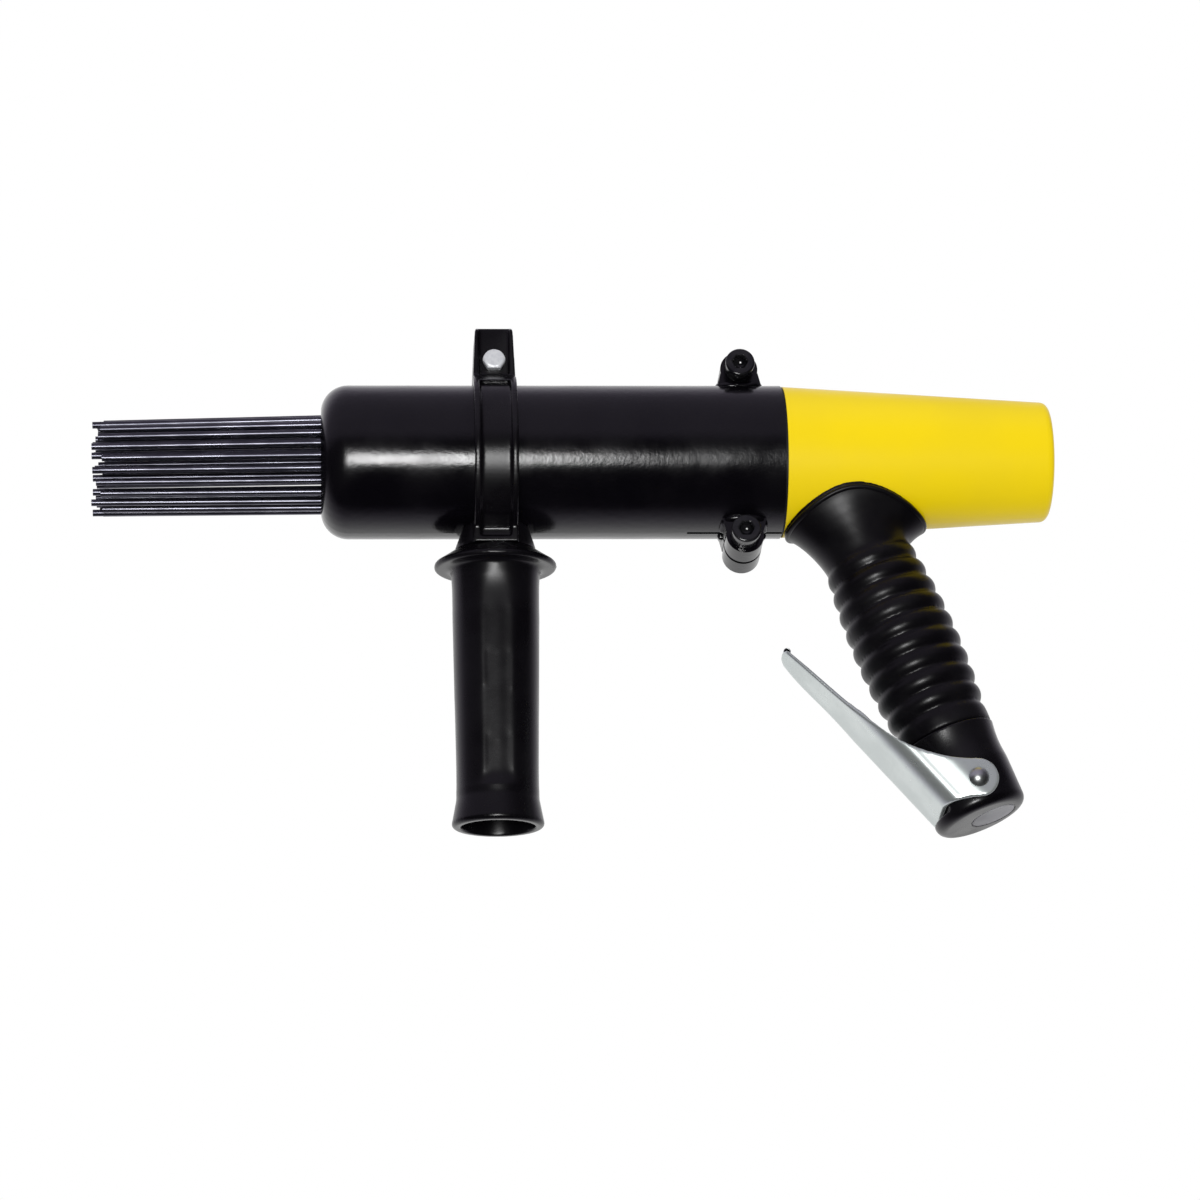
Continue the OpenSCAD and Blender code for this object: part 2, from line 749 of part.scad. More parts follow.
valve_spring_l = -stem_seal_t - 2 * run_gap - poppet_t - valve_back - run_gap;

module valve_spring() color("#8d9098") on_grip()
    translate([valve_back + run_gap, 0, valve_s]) rotate([0, 90, 0])
        wire_coil(valve_spring_r, valve_wire, valve_turns, valve_spring_l, spring_turn_gap);

module strainer_profile() difference() {
    union() {
        band(0, strainer_r - fit, 0, strainer_flange);
        band(0, strainer_r - strainer_taper, 0, strainer_l);
    }
    band(0, strainer_r - strainer_taper - strainer_wall, -over, strainer_l - strainer_wall);
}

module inlet_strainer() color("#b08d45") on_grip()
    translate([inlet_f, 0, thread_start - seat_gap]) mirror([0, 0, 1])
        rotate_extrude() strainer_profile();

module inlet_cap() color("#9c9ca0") on_grip()
    translate([inlet_f, 0, thread_end + seat_gap]) rotate_extrude() {
        band(0, cap_r, 0, cap_t - cap_edge);
        band(0, cap_r - cap_edge, 0, cap_t);
    }

// Lever frame: local Z runs up the front face from the foot, local X points out of it
module on_lever() translate([lever_front - lever_foot * tan(lever_splay), 0, pivot_s + lever_foot])
    rotate([0, 180 - lever_splay, 0]) mirror([1, 0, 0]) children();

module lever_shell(inset) {
    half = ear_out - inset;
    bend = lever_bend_r - inset;
    translate([-lever_depth, -half]) square([lever_depth - lever_bend_r, 2 * half]);
    translate([-lever_bend_r, -half + bend]) square([bend, 2 * (half - bend)]);
    for (side = [-1, 1]) translate([-lever_bend_r, side * (half - bend)]) circle(bend);
}

// Lever seen from the front: full width at the ears, then a taper to a round tip
module lever_front_outline() {
    tip_r = lever_tip_w / 2;
    translate([-lever_low, -ear_out]) square([lever_full_l + lever_low, 2 * ear_out]);
    polygon([[lever_full_l - over, -ear_out], [lever_l - tip_r, -tip_r], [lever_l - tip_r, tip_r],
        [lever_full_l - over, ear_out]]);
    translate([lever_l - tip_r, 0]) circle(tip_r);
}

// Lever seen from the side, as [forward, down the grip]: round ear, front face, and a hollow upper
// edge whose circle touches the ear a little behind its top
module lever_side_outline() {
    foot_s = pivot_s + lever_foot;
    rise = lever_l * cos(lever_splay);
    run = lever_l * sin(lever_splay);
    front = lever_front - lever_foot * tan(lever_splay);
    difference() {
        polygon(concat(
            [for (k = [0 : ear_sides]) let (a = 90 + notch_turn + (180 - notch_turn) * k / ear_sides)
                [ear_r * cos(a), pivot_s - ear_r * sin(a)]],
            [[front + over, foot_s], [front + run + over, foot_s - rise - over],
                [front + run - lever_depth / 2, foot_s - rise - over]]
        ));
        translate([0, pivot_s]) rotate(180 - notch_turn) translate([0, ear_r + notch_r]) circle(notch_r);
        translate([-lever_depth, foot_s - rise - lever_l]) square([lever_depth - ear_r, lever_l + rise]);
    }
}

module throttle_lever() color("#c4c7cb") on_grip() difference() {
    intersection() {
        on_lever() translate([0, 0, -lever_low])
            linear_extrude(height = lever_l + lever_low + over) difference() {
                lever_shell(0);
                lever_shell(lever_t);
            }
        on_lever() translate([over, 0, 0]) rotate([0, -90, 0])
            linear_extrude(height = lever_depth + over) lever_front_outline();
        rotate([90, 0, 0]) linear_extrude(height = 2 * ear_out + over, center = true) lever_side_outline();
    }
    translate([0, 0, pivot_s]) cross_bar(pin_r + fit, -ear_out - over, ear_out + over);
}

module lever_pin() {
    translate([0, 0, body_r - pin_depth]) cylinder(r = pin_r, h = pin_depth + ear_gap + lever_t + run_gap);
    head_round = (pin_head_r * pin_head_r + pin_head_h * pin_head_h) / (2 * pin_head_h);
    translate([0, 0, ear_out + run_gap]) rotate_extrude() intersection() {
        translate([0, pin_head_h - head_round]) circle(head_round);
        band(0, pin_head_r, 0, pin_head_h);
    }
}

module lever_pins() color("#b4b7bb") on_grip() translate([0, 0, pivot_s])
    for (side = [-1, 1]) rotate([-90 * side, 0, 0]) lever_pin();

// Clamp seen from the front, as [along the barrel, up]
module clamp_front_outline() {
    half = strap_w / 2;
    grow = foot_w / 2 - half;
    drop = foot_z - flare_top;
    sweep = (drop * drop + grow * grow) / (2 * grow);
    polygon([[-half, -flare_top - over], [half, -flare_top - over], [half, barrel_r],
        [half - clamp_lug_taper, clamp_lug_top - clamp_lug_edge], [half - clamp_lug_edge, clamp_lug_top],
        [clamp_lug_edge - half, clamp_lug_top], [clamp_lug_taper - half, clamp_lug_top - clamp_lug_edge],
        [-half, barrel_r]]);
    difference() {
        translate([-foot_w / 2, -foot_z]) square([foot_w, drop]);
        for (side = [-1, 1]) translate([side * (half + sweep), -flare_top]) circle(sweep);
    }
}

// Clamp seen along the barrel, as [across, up]
module clamp_side_outline() {
    circle(strap_r);
    translate([-clamp_lug_r, 0]) square([2 * clamp_lug_r, clamp_lug_top]);
    translate([-foot_w / 2, -foot_z]) square([foot_w, foot_z]);
}

module handle_clamp() color("#161619") on_handle() difference() {
    intersection() {
        rotate([90, 0, 0]) linear_extrude(height = 2 * strap_r, center = true) clamp_front_outline();
        rotate([90, 0, 90]) linear_extrude(height = foot_w + over, center = true) clamp_side_outline();
        union() {
            translate([0, 0, -foot_z]) cylinder(d = foot_w, h = foot_z);
            translate([-strap_w / 2, -strap_r, -foot_z])
                cube([strap_w, 2 * strap_r, foot_z + clamp_lug_top]);
        }
    }
    rotate([0, 90, 0]) cylinder(r = barrel_r + strap_gap, h = foot_w + over, center = true);
    translate([-strap_w, -split_w / 2, 0]) cube([2 * strap_w, split_w, clamp_lug_top + over]);
    translate([0, 0, clamp_bolt_z]) cross_bar(clamp_bolt_d / 2 + fit, -strap_r, strap_r);
    for (side = [-1, 1]) translate([-pocket_w / 2, side * clamp_lug_r - pocket_depth, pocket_low])
        cube([pocket_w, 2 * pocket_depth, clamp_lug_top - clamp_lug_edge - pocket_low]);
    intersection() {
        rotate([0, 90, 0]) difference() {
            cylinder(r = strap_r + over, h = channel_w, center = true);
            cylinder(r = strap_r - channel_depth, h = channel_w + over, center = true);
        }
        translate([-strap_w, -2 * strap_r, -channel_low])
            cube([2 * strap_w, 4 * strap_r, channel_low + channel_top]);
    }
    translate([0, 0, -foot_z - over]) cylinder(d = handle_bolt_d + 2 * fit, h = foot_z);
}

module clamp_bolt() color("#c9cbce") on_handle() translate([0, 0, clamp_bolt_z]) {
    head_y = -clamp_lug_r + pocket_depth - seat_gap;
    cross_bar(clamp_bolt_d / 2, head_y, clamp_lug_r + clamp_nut_l - pocket_depth);
    translate([0, head_y - clamp_hex_l, 0]) rotate([-90, 0, 0]) intersection() {
        cylinder(d = clamp_hex_d, h = clamp_hex_l, $fn = 6);
        translate([0, 0, clamp_hex_d]) sphere(r = clamp_hex_d * hex_round_share);
    }
}

module clamp_nut() color("#c9cbce") on_handle()
    translate([0, clamp_lug_r - pocket_depth + seat_gap, clamp_bolt_z]) rotate([-90, 0, 0]) difference() {
        cylinder(d = clamp_hex_d, h = clamp_nut_l, $fn = 6);
        translate([0, 0, -over]) cylinder(d = clamp_bolt_d + 2 * fit, h = clamp_nut_l + 2 * over);
    }

// Side grip outline, as [radius, up], hung below the clamp
module side_grip_outline() {
    low = grip_top + side_grip_l;
    foot_r = side_grip_r - side_taper;
    rim_r = foot_r + rim_grow;
    rim_past = rim_r - (1 - past_share) * rim_edge;
    edge_r = flange_r - (1 - past_share) * flange_edge;
    polygon([[0, -grip_top], [foot_w / 2, -grip_top],
        [edge_r, -grip_top - flange_drop + side_share * flange_edge],
        [edge_r, -grip_top - flange_drop - side_share * flange_edge],
        [side_grip_r, -grip_top - flange_drop - flange_foot], [foot_r, -low + rim_l + rim_l],
        [foot_r, -low + rim_l], [rim_past, -low + (1 + side_share) * rim_edge],
        [rim_past, -low + (1 - side_share) * rim_edge], [rim_r - 2 * rim_edge, -low], [0, -low]]);
}

module flange_bead() translate([flange_r - flange_edge, -grip_top - flange_drop]) circle(flange_edge);

module rim_bead()
    translate([side_grip_r - side_taper + rim_grow - rim_edge, rim_edge - grip_top - side_grip_l])
        circle(rim_edge);

// Channel in the side grip: round at the top, square and a little wider at its foot
module panel_channel() {
    half = panel_channel_w / 2;
    foot = half + panel_foot_w;
    low = -grip_top - side_grip_l + panel_low_gap;
    top = -grip_top - panel_top_gap - half;
    polygon([[-half, top], [half, top], [half, low + panel_foot_l], [foot, low], [-foot, low],
        [-half, low + panel_foot_l]]);
    translate([0, top]) circle(half);
}

// The grip inside its channels, and the hollow below the web
module channel_floor() {
    low = grip_top + side_grip_l;
    top_r = side_grip_r - panel_channel_depth;
    polygon([[0, -grip_top], [top_r, -grip_top], [top_r, -grip_top - flange_drop - flange_foot],
        [top_r - side_taper, -low + 2 * rim_l], [top_r - side_taper, -low], [0, -low]]);
}

module side_hollow() {
    low = grip_top + side_grip_l;
    polygon([[0, -low - over], [side_hollow_r + side_mouth, -low - over],
        [side_hollow_r + side_mouth, -low], [side_hollow_r, -low + rim_l],
        [side_hollow_r, -grip_top - side_web], [0, -grip_top - side_web]]);
}

module side_grip() color("#141417") on_handle() difference() {
    union() {
        rotate_extrude() side_grip_outline();
        rotate_extrude() flange_bead();
        rotate_extrude() rim_bead();
    }
    rotate_extrude() side_hollow();
    translate([0, 0, -grip_top - side_web - over])
        cylinder(d = handle_bolt_d + 2 * fit, h = side_web + 2 * over);
    difference() {
        rotate([90, 0, 0]) linear_extrude(height = side_grip_d + over, center = true) panel_channel();
        rotate_extrude() channel_floor();
    }
}

module handle_bolt() color("#b9bbbf") on_handle() {
    head_top = -grip_top - side_web - handle_washer_t - 2 * seat_gap;
    translate([0, 0, head_top - handle_hex_l]) cylinder(d = handle_hex_d, h = handle_hex_l, $fn = 6);
    translate([0, 0, head_top - over])
        cylinder(d = handle_bolt_d, h = -barrel_r - bolt_end_gap - head_top + over);
}

module handle_washer() color("#b9bbbf") on_handle()
    translate([0, 0, -grip_top - side_web - handle_washer_t - seat_gap]) difference() {
        cylinder(r = handle_washer_r, h = handle_washer_t);
        translate([0, 0, -over]) cylinder(d = handle_bolt_d + 2 * fit, h = handle_washer_t + 2 * over);
    }

echo(return_spring_gap = coil_gap(coil_path(spring_r, spring_wire, spring_turns, spring_to - spring_from,
    spring_turn_gap), spring_wire));
echo(valve_spring_gap = coil_gap(coil_path(valve_spring_r, valve_wire, valve_turns, valve_spring_l,
    spring_turn_gap), valve_wire));

barrel_tube();
barrel_clamp_screws();
needles();
needle_holder();
return_spring();
anvil();
anvil_bush();
anvil_buffer();
cylinder_body();  // cylinder
piston();
valve_chest();
valve_plate();
valve_cover();
rear_buffer();
motor_housing();
joint_seal();
grip_core();
grip_boot();
throttle_body();
valve_bush();
bush_seal();
valve_stem();
stem_seal();
valve_spring();
inlet_strainer();
inlet_cap();
throttle_lever();
lever_pins();
handle_clamp();
clamp_bolt();
clamp_nut();
side_grip();
handle_bolt();
handle_washer();
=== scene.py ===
# %% [markdown]
# Dressing a needle scaler
#
# A needle scaler is an air tool: a piston strikes an anvil, and the anvil drives a bundle of steel
# needles against rust. The solids come from a CAD model that is already in place. This lesson
# gives them their finishes, adds the small forms that only a render shows, and sets up the studio.

# %% Load the solids
import json
import math
import bpy
from mathutils import Matrix, Vector


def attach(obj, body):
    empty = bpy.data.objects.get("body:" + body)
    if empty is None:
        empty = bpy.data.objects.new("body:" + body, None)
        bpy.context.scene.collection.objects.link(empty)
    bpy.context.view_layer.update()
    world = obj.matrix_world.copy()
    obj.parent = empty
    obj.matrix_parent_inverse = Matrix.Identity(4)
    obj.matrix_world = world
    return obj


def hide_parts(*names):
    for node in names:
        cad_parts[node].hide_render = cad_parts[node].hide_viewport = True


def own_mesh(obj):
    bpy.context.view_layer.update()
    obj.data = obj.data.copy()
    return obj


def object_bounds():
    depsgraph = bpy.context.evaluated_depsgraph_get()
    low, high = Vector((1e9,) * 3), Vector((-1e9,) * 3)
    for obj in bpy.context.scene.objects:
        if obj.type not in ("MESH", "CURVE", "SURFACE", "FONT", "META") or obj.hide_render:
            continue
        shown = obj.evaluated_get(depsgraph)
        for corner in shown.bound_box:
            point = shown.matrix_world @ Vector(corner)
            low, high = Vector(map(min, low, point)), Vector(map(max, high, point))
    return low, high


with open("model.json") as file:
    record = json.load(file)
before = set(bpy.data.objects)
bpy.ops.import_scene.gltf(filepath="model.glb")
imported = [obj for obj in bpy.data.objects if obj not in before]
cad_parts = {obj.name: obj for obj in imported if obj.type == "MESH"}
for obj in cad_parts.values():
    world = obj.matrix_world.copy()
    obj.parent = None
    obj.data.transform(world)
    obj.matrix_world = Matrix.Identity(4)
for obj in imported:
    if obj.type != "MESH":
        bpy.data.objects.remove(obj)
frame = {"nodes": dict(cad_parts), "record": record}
cad_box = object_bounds()
nodes = frame["nodes"]
bpy.ops.object.select_all(action="DESELECT")
print("solids:", len(nodes), "box:", [[round(v, 4) for v in corner] for corner in cad_box])

# %% [markdown]
# The camera
#
# The tool was photographed with a long lens from a little below its barrel, so the hollow end of the
# side grip shows. A camera can be aimed with a constraint, but writing its matrix from a view angle,
# an aim point, a distance and a small roll keeps every number readable.

# %% Camera
VIEW_TURN = math.radians(-3.6)
VIEW_RISE = math.radians(-22.0)
VIEW_ROLL = math.radians(1.455)
VIEW_AIM = Vector((0.22184, 0.0, -0.06571))
VIEW_DISTANCE = 1.90955
LENS_MM, SENSOR_MM = 131.0, 36.0

to_camera = Vector((math.sin(VIEW_TURN) * math.cos(VIEW_RISE), -math.cos(VIEW_TURN) * math.cos(VIEW_RISE),
                    math.sin(VIEW_RISE)))
level_right = Vector((math.cos(VIEW_TURN), math.sin(VIEW_TURN), 0.0))
level_up = to_camera.cross(level_right)
right = level_right * math.cos(VIEW_ROLL) - level_up * math.sin(VIEW_ROLL)
up = level_right * math.sin(VIEW_ROLL) + level_up * math.cos(VIEW_ROLL)

bpy.ops.object.camera_add()
camera = bpy.context.object
camera.name = "photo_camera"
camera.matrix_world = Matrix.Translation(VIEW_AIM + to_camera * VIEW_DISTANCE) @ Matrix(
    (right, up, to_camera)).transposed().to_4x4()
camera.data.lens = LENS_MM
camera.data.sensor_width = SENSOR_MM
bpy.context.scene.camera = camera
bpy.context.scene.view_settings.view_transform = "Standard"
print("camera at", [round(v, 3) for v in camera.location])

# %% [markdown]
# Small helpers for node trees
#
# Light and finishes are trees of nodes. They could be drawn by hand in the node editor, but written
# out they can be read and changed. Three moves come back all the time: link two sockets, do a
# sum, and go smoothly from one value to another.

# %% Helpers for node trees
def link(tree, *pairs):
    for out_socket, in_socket in pairs:
        tree.links.new(out_socket, in_socket)


def math_node(tree, operation, first, second):
    node = tree.nodes.new("ShaderNodeMath")
    node.operation = operation
    for socket, value in zip(node.inputs, (first, second)):
        if isinstance(value, (int, float)):
            socket.default_value = value
        else:
            tree.links.new(value, socket)
    return node.outputs[0]


def step_between(tree, value, low, high, from_value, to_value):
    node = tree.nodes.new("ShaderNodeMapRange")
    node.interpolation_type = "SMOOTHSTEP"
    for name, number in (("From Min", low), ("From Max", high)):
        node.inputs[name].default_value = number
    for name, given in (("To Min", from_value), ("To Max", to_value)):
        if isinstance(given, (int, float)):
            node.inputs[name].default_value = given
        else:
            tree.links.new(given, node.inputs[name])
    tree.links.new(value, node.inputs["Value"])
    return node.outputs["Result"]


print("helpers:", [helper.__name__ for helper in (link, math_node, step_between)])

# %% [markdown]
# The studio
#
# Black gloss shows its surroundings more than its own colour. The backdrop is white, the room in
# front is dim, and one soft box beside the camera draws the long highlight on the barrel. The
# world can be that room: its colour depends on the direction a reflected ray takes.

# %% World: white backdrop behind, dim room in front
BACKDROP = 1.0
FILL = 0.70
ROOM_ABOVE = 0.29
ROOM_BELOW = 0.01
ROOM_RIGHT_SHARE = 0.12
ROOM_LOW, ROOM_HIGH = 0.08, 0.42
RIGHT_END, BACK_END = 0.85, 0.95
ROOM_TINT = (1.0, 0.90, 1.16, 1.0)

world = bpy.data.worlds.new("studio")
bpy.context.scene.world = world
world.use_nodes = True
tree = world.node_tree
path = tree.nodes.new("ShaderNodeLightPath")
place = tree.nodes.new("ShaderNodeTexCoord")
axes = tree.nodes.new("ShaderNodeSeparateXYZ")
link(tree, (place.outputs["Generated"], axes.inputs[0]))
height = step_between(tree, axes.outputs["Z"], ROOM_LOW, ROOM_HIGH, ROOM_BELOW, ROOM_ABOVE)
to_right = step_between(tree, axes.outputs["X"], 0.0, RIGHT_END, 1.0, ROOM_RIGHT_SHARE)
room = math_node(tree, "MULTIPLY", height, to_right)
behind = step_between(tree, axes.outputs["Y"], 0.0, BACK_END, 0.0, 1.0)
seen_in_gloss = step_between(tree, axes.outputs["Y"], 0.0, BACK_END, room, BACKDROP)
gloss = math_node(tree, "MULTIPLY", path.outputs["Is Glossy Ray"], seen_in_gloss)
seen = math_node(tree, "MAXIMUM", path.outputs["Is Camera Ray"], path.outputs["Is Transmission Ray"])
not_plain = math_node(tree, "MAXIMUM", seen, path.outputs["Is Glossy Ray"])
fill = math_node(tree, "MULTIPLY", math_node(tree, "SUBTRACT", 1.0, not_plain), FILL)
strength = math_node(tree, "ADD", math_node(tree, "ADD", seen, gloss), fill)
link(tree, (strength, tree.nodes["Background"].inputs["Strength"]))
plain = math_node(tree, "MAXIMUM", behind, math_node(tree, "SUBTRACT", 1.0, path.outputs["Is Glossy Ray"]))
tint = tree.nodes.new("ShaderNodeMix")
tint.data_type = "RGBA"
tint.inputs["A"].default_value = ROOM_TINT
tint.inputs["B"].default_value = (1.0, 1.0, 1.0, 1.0)
link(tree, (plain, tint.inputs["Factor"]), (tint.outputs["Result"], tree.nodes["Background"].inputs["Color"]))
print("world nodes:", len(tree.nodes))

# %% [markdown]
# Lamps
#
# A soft box close to the camera gives the barrel its bright stripe, because a cylinder mirrors what
# stands where you stand. A wide lamp overhead shapes the sides and drops a soft shadow; it is kept
# out of reflections, so the stripe stays single.

# %% Lamps
STRIPE_AIM = Vector((0.15, 0.0, 0.0))
STRIPE_RISE = math.radians(-18.5)
STRIPE_DISTANCE = 1.55
STRIPE_X, STRIPE_SIDE, STRIPE_WATTS = 0.075, 0.38, 12.2
OVERHEAD_PLACE, OVERHEAD_AIM = (0.1, -0.5, 1.3), (0.2, 0.0, 0.0)
OVERHEAD_SIDE, OVERHEAD_WATTS = 1.4, 7.0


def soft_box(name, place, aim, side, watts):
    bpy.ops.object.light_add(type="AREA", location=place)
    lamp = bpy.context.object
    lamp.name = name
    lamp.data.shape = "RECTANGLE"
    lamp.data.size, lamp.data.size_y = side, side
    lamp.data.energy = watts
    lamp.rotation_euler = (Vector(aim) - Vector(place)).to_track_quat("-Z", "Y").to_euler()
    lamp.visible_camera = False
    return lamp


stripe_place = Vector((STRIPE_X, -STRIPE_DISTANCE * math.cos(STRIPE_RISE),
                       STRIPE_DISTANCE * math.sin(STRIPE_RISE)))
stripe = soft_box("stripe_box", stripe_place, STRIPE_AIM, STRIPE_SIDE, STRIPE_WATTS)
overhead = soft_box("overhead_box", OVERHEAD_PLACE, OVERHEAD_AIM, OVERHEAD_SIDE, OVERHEAD_WATTS)
overhead.visible_glossy = False
print("lamps:", [lamp.name for lamp in (stripe, overhead)])

# %% [markdown]
# The floor
#
# A pale floor catches the shadow when the tool is seen from above. The photograph looks up from
# below it, so the floor shows only its upper side: its material turns clear on the back.

# %% Floor
FLOOR_HALF = 3.0
FLOOR_GAP = 0.001
FLOOR_X, FLOOR_GREY, FLOOR_ROUGH = 0.2, 0.82, 0.9
bpy.ops.mesh.primitive_plane_add(size=2 * FLOOR_HALF, location=(FLOOR_X, 0.0, cad_box[0][2] - FLOOR_GAP))
floor = bpy.context.object
floor.name = "floor"
pale = bpy.data.materials.new("pale_floor")
pale.use_nodes = True
tree = pale.node_tree
surface = tree.nodes["Principled BSDF"]
surface.inputs["Base Color"].default_value = (FLOOR_GREY, FLOOR_GREY, FLOOR_GREY, 1.0)
surface.inputs["Roughness"].default_value = FLOOR_ROUGH
side = tree.nodes.new("ShaderNodeNewGeometry")
path = tree.nodes.new("ShaderNodeLightPath")
clear = tree.nodes.new("ShaderNodeBsdfTransparent")
mix = tree.nodes.new("ShaderNodeMixShader")
unseen = math_node(tree, "MAXIMUM", path.outputs["Is Shadow Ray"], path.outputs["Is Glossy Ray"])
hidden = math_node(tree, "MAXIMUM", side.outputs["Backfacing"], unseen)
link(tree, (hidden, mix.inputs["Fac"]),
     (surface.outputs[0], mix.inputs[1]), (clear.outputs[0], mix.inputs[2]),
     (mix.outputs[0], tree.nodes["Material Output"].inputs["Surface"]))
floor.data.materials.append(pale)
print("floor at", round(floor.location.z, 4))

# %% [markdown]
# Shared effects
#
# No real finish is one flat number. Three small node groups give every material its variation. The
# nodes could be repeated in each material, but a group keeps an effect in one place, with inputs of
# its own. All noise is laid out on Object coordinates, so it needs no unwrapping and moves with its piece.

# %% Helpers for node groups
def new_group(name, inputs, outputs):
    group = bpy.data.node_groups.new(name, "ShaderNodeTree")
    for label, kind, value in inputs:
        socket = group.interface.new_socket(label, in_out="INPUT", socket_type=kind)
        socket.default_value = value
    for label in outputs:
        group.interface.new_socket(label, in_out="OUTPUT", socket_type="NodeSocketFloat")
    return group, group.nodes.new("NodeGroupInput").outputs, group.nodes.new("NodeGroupOutput").inputs


def noise_on_object(tree, scale, detail, stretch=None):
    place = tree.nodes.new("ShaderNodeTexCoord")
    noise = tree.nodes.new("ShaderNodeTexNoise")
    vector = place.outputs["Object"]
    if stretch is not None:
        multiply = tree.nodes.new("ShaderNodeVectorMath")
        multiply.operation = "MULTIPLY"
        link(tree, (vector, multiply.inputs[0]), (stretch, multiply.inputs[1]))
        vector = multiply.outputs[0]
    link(tree, (vector, noise.inputs["Vector"]), (scale, noise.inputs["Scale"]))
    noise.inputs["Detail"].default_value = detail
    return noise.outputs["Fac"]


print("helpers:", [helper.__name__ for helper in (new_group, noise_on_object)])

# %% [markdown]
# Grain, smudges and drawn lines
#
# Grain is paint peel, cast skin or the texture of a mould: a coarse and a fine noise, mixed. Smudges
# come from hands: a soft mask that also moves the roughness. Drawn lines are noise that is stretched
# along one axis, as rolling, turning or grinding leaves them.

# %% The three groups
FLOAT, VECTOR = "NodeSocketFloat", "NodeSocketVector"
PATCH_LOW, PATCH_HIGH = 0.36, 0.66

grain_group, given, made = new_group(
    "surface_grain", [("Coarse", FLOAT, 300.0), ("Fine", FLOAT, 1500.0), ("Share", FLOAT, 0.5)], ["Height"])
coarse = noise_on_object(grain_group, given["Coarse"], detail=2.0)
fine = noise_on_object(grain_group, given["Fine"], detail=3.0)
blend = grain_group.nodes.new("ShaderNodeMix")
link(grain_group, (given["Share"], blend.inputs["Factor"]),
     (coarse, blend.inputs["A"]), (fine, blend.inputs["B"]), (blend.outputs["Result"], made["Height"]))

smudge_group, given, made = new_group(
    "handling_smudges", [("Scale", FLOAT, 25.0), ("Low", FLOAT, 0.2), ("High", FLOAT, 0.4)],
    ["Value", "Mask"])
patch = noise_on_object(smudge_group, given["Scale"], detail=5.0)
mask = step_between(smudge_group, patch, PATCH_LOW, PATCH_HIGH, 0.0, 1.0)
spread = math_node(smudge_group, "SUBTRACT", given["High"], given["Low"])
raised = math_node(smudge_group, "ADD", given["Low"], math_node(smudge_group, "MULTIPLY", mask, spread))
link(smudge_group, (raised, made["Value"]), (mask, made["Mask"]))

lines_group, given, made = new_group(
    "drawn_lines", [("Scale", FLOAT, 600.0), ("Stretch", VECTOR, (0.05, 1.0, 1.0))], ["Lines"])
lines = noise_on_object(lines_group, given["Scale"], detail=4.0, stretch=given["Stretch"])
link(lines_group, (lines, made["Lines"]))
print("groups:", [group.name for group in (grain_group, smudge_group, lines_group)])

# %% [markdown]
# One recipe for the finishes
#
# Paint, rubber and plastic differ in colour, in how rough they are and in the size of their grain.
# A function that builds the same small tree for each keeps them comparable. Numbers that are the
# same all over are set on the shader itself; only what varies is linked.

# %% Helpers for a coated finish
def add_group(tree, group, **values):
    node = tree.nodes.new("ShaderNodeGroup")
    node.node_tree = group
    for name, value in values.items():
        node.inputs[name].default_value = value
    return node.outputs


def two_tone(tree, mask, first, second):
    mix = tree.nodes.new("ShaderNodeMix")
    mix.data_type = "RGBA"
    mix.inputs["A"].default_value = (*first, 1.0)
    mix.inputs["B"].default_value = (*second, 1.0)
    tree.links.new(mask, mix.inputs["Factor"])
    return mix.outputs["Result"]


def bump(tree, height, strength, depth):
    node = tree.nodes.new("ShaderNodeBump")
    node.inputs["Strength"].default_value = strength
    node.inputs["Distance"].default_value = depth
    tree.links.new(height, node.inputs["Height"])
    return node.outputs["Normal"]


def coated(name, color, shade, rough, smudge_scale, grain, strength, depth, specular=0.5):
    material = bpy.data.materials.new(name)
    material.use_nodes = True
    tree = material.node_tree
    shader = tree.nodes["Principled BSDF"]
    smudge = add_group(tree, smudge_group, Scale=smudge_scale, Low=rough[0], High=rough[1])
    height = add_group(tree, grain_group, Coarse=grain[0], Fine=grain[1], Share=grain[2])["Height"]
    link(tree, (two_tone(tree, smudge["Mask"], color, shade), shader.inputs["Base Color"]),
         (smudge["Value"], shader.inputs["Roughness"]),
         (bump(tree, height, strength, depth), shader.inputs["Normal"]))
    shader.inputs["Specular IOR Level"].default_value = specular
    return material


print("helpers:", [helper.__name__ for helper in (add_group, two_tone, bump, coated)])

# %% [markdown]
# Paint, rubber and plastic
#
# Barrel and housing wear gloss enamel, the boot is rubber, and clamp and side grip are nylon. All the
# black pieces have nearly the same colour, so what tells them apart is how rough they are, how much
# they mirror and how coarse their grain is. Each finish is one entry of a table; the metals follow.

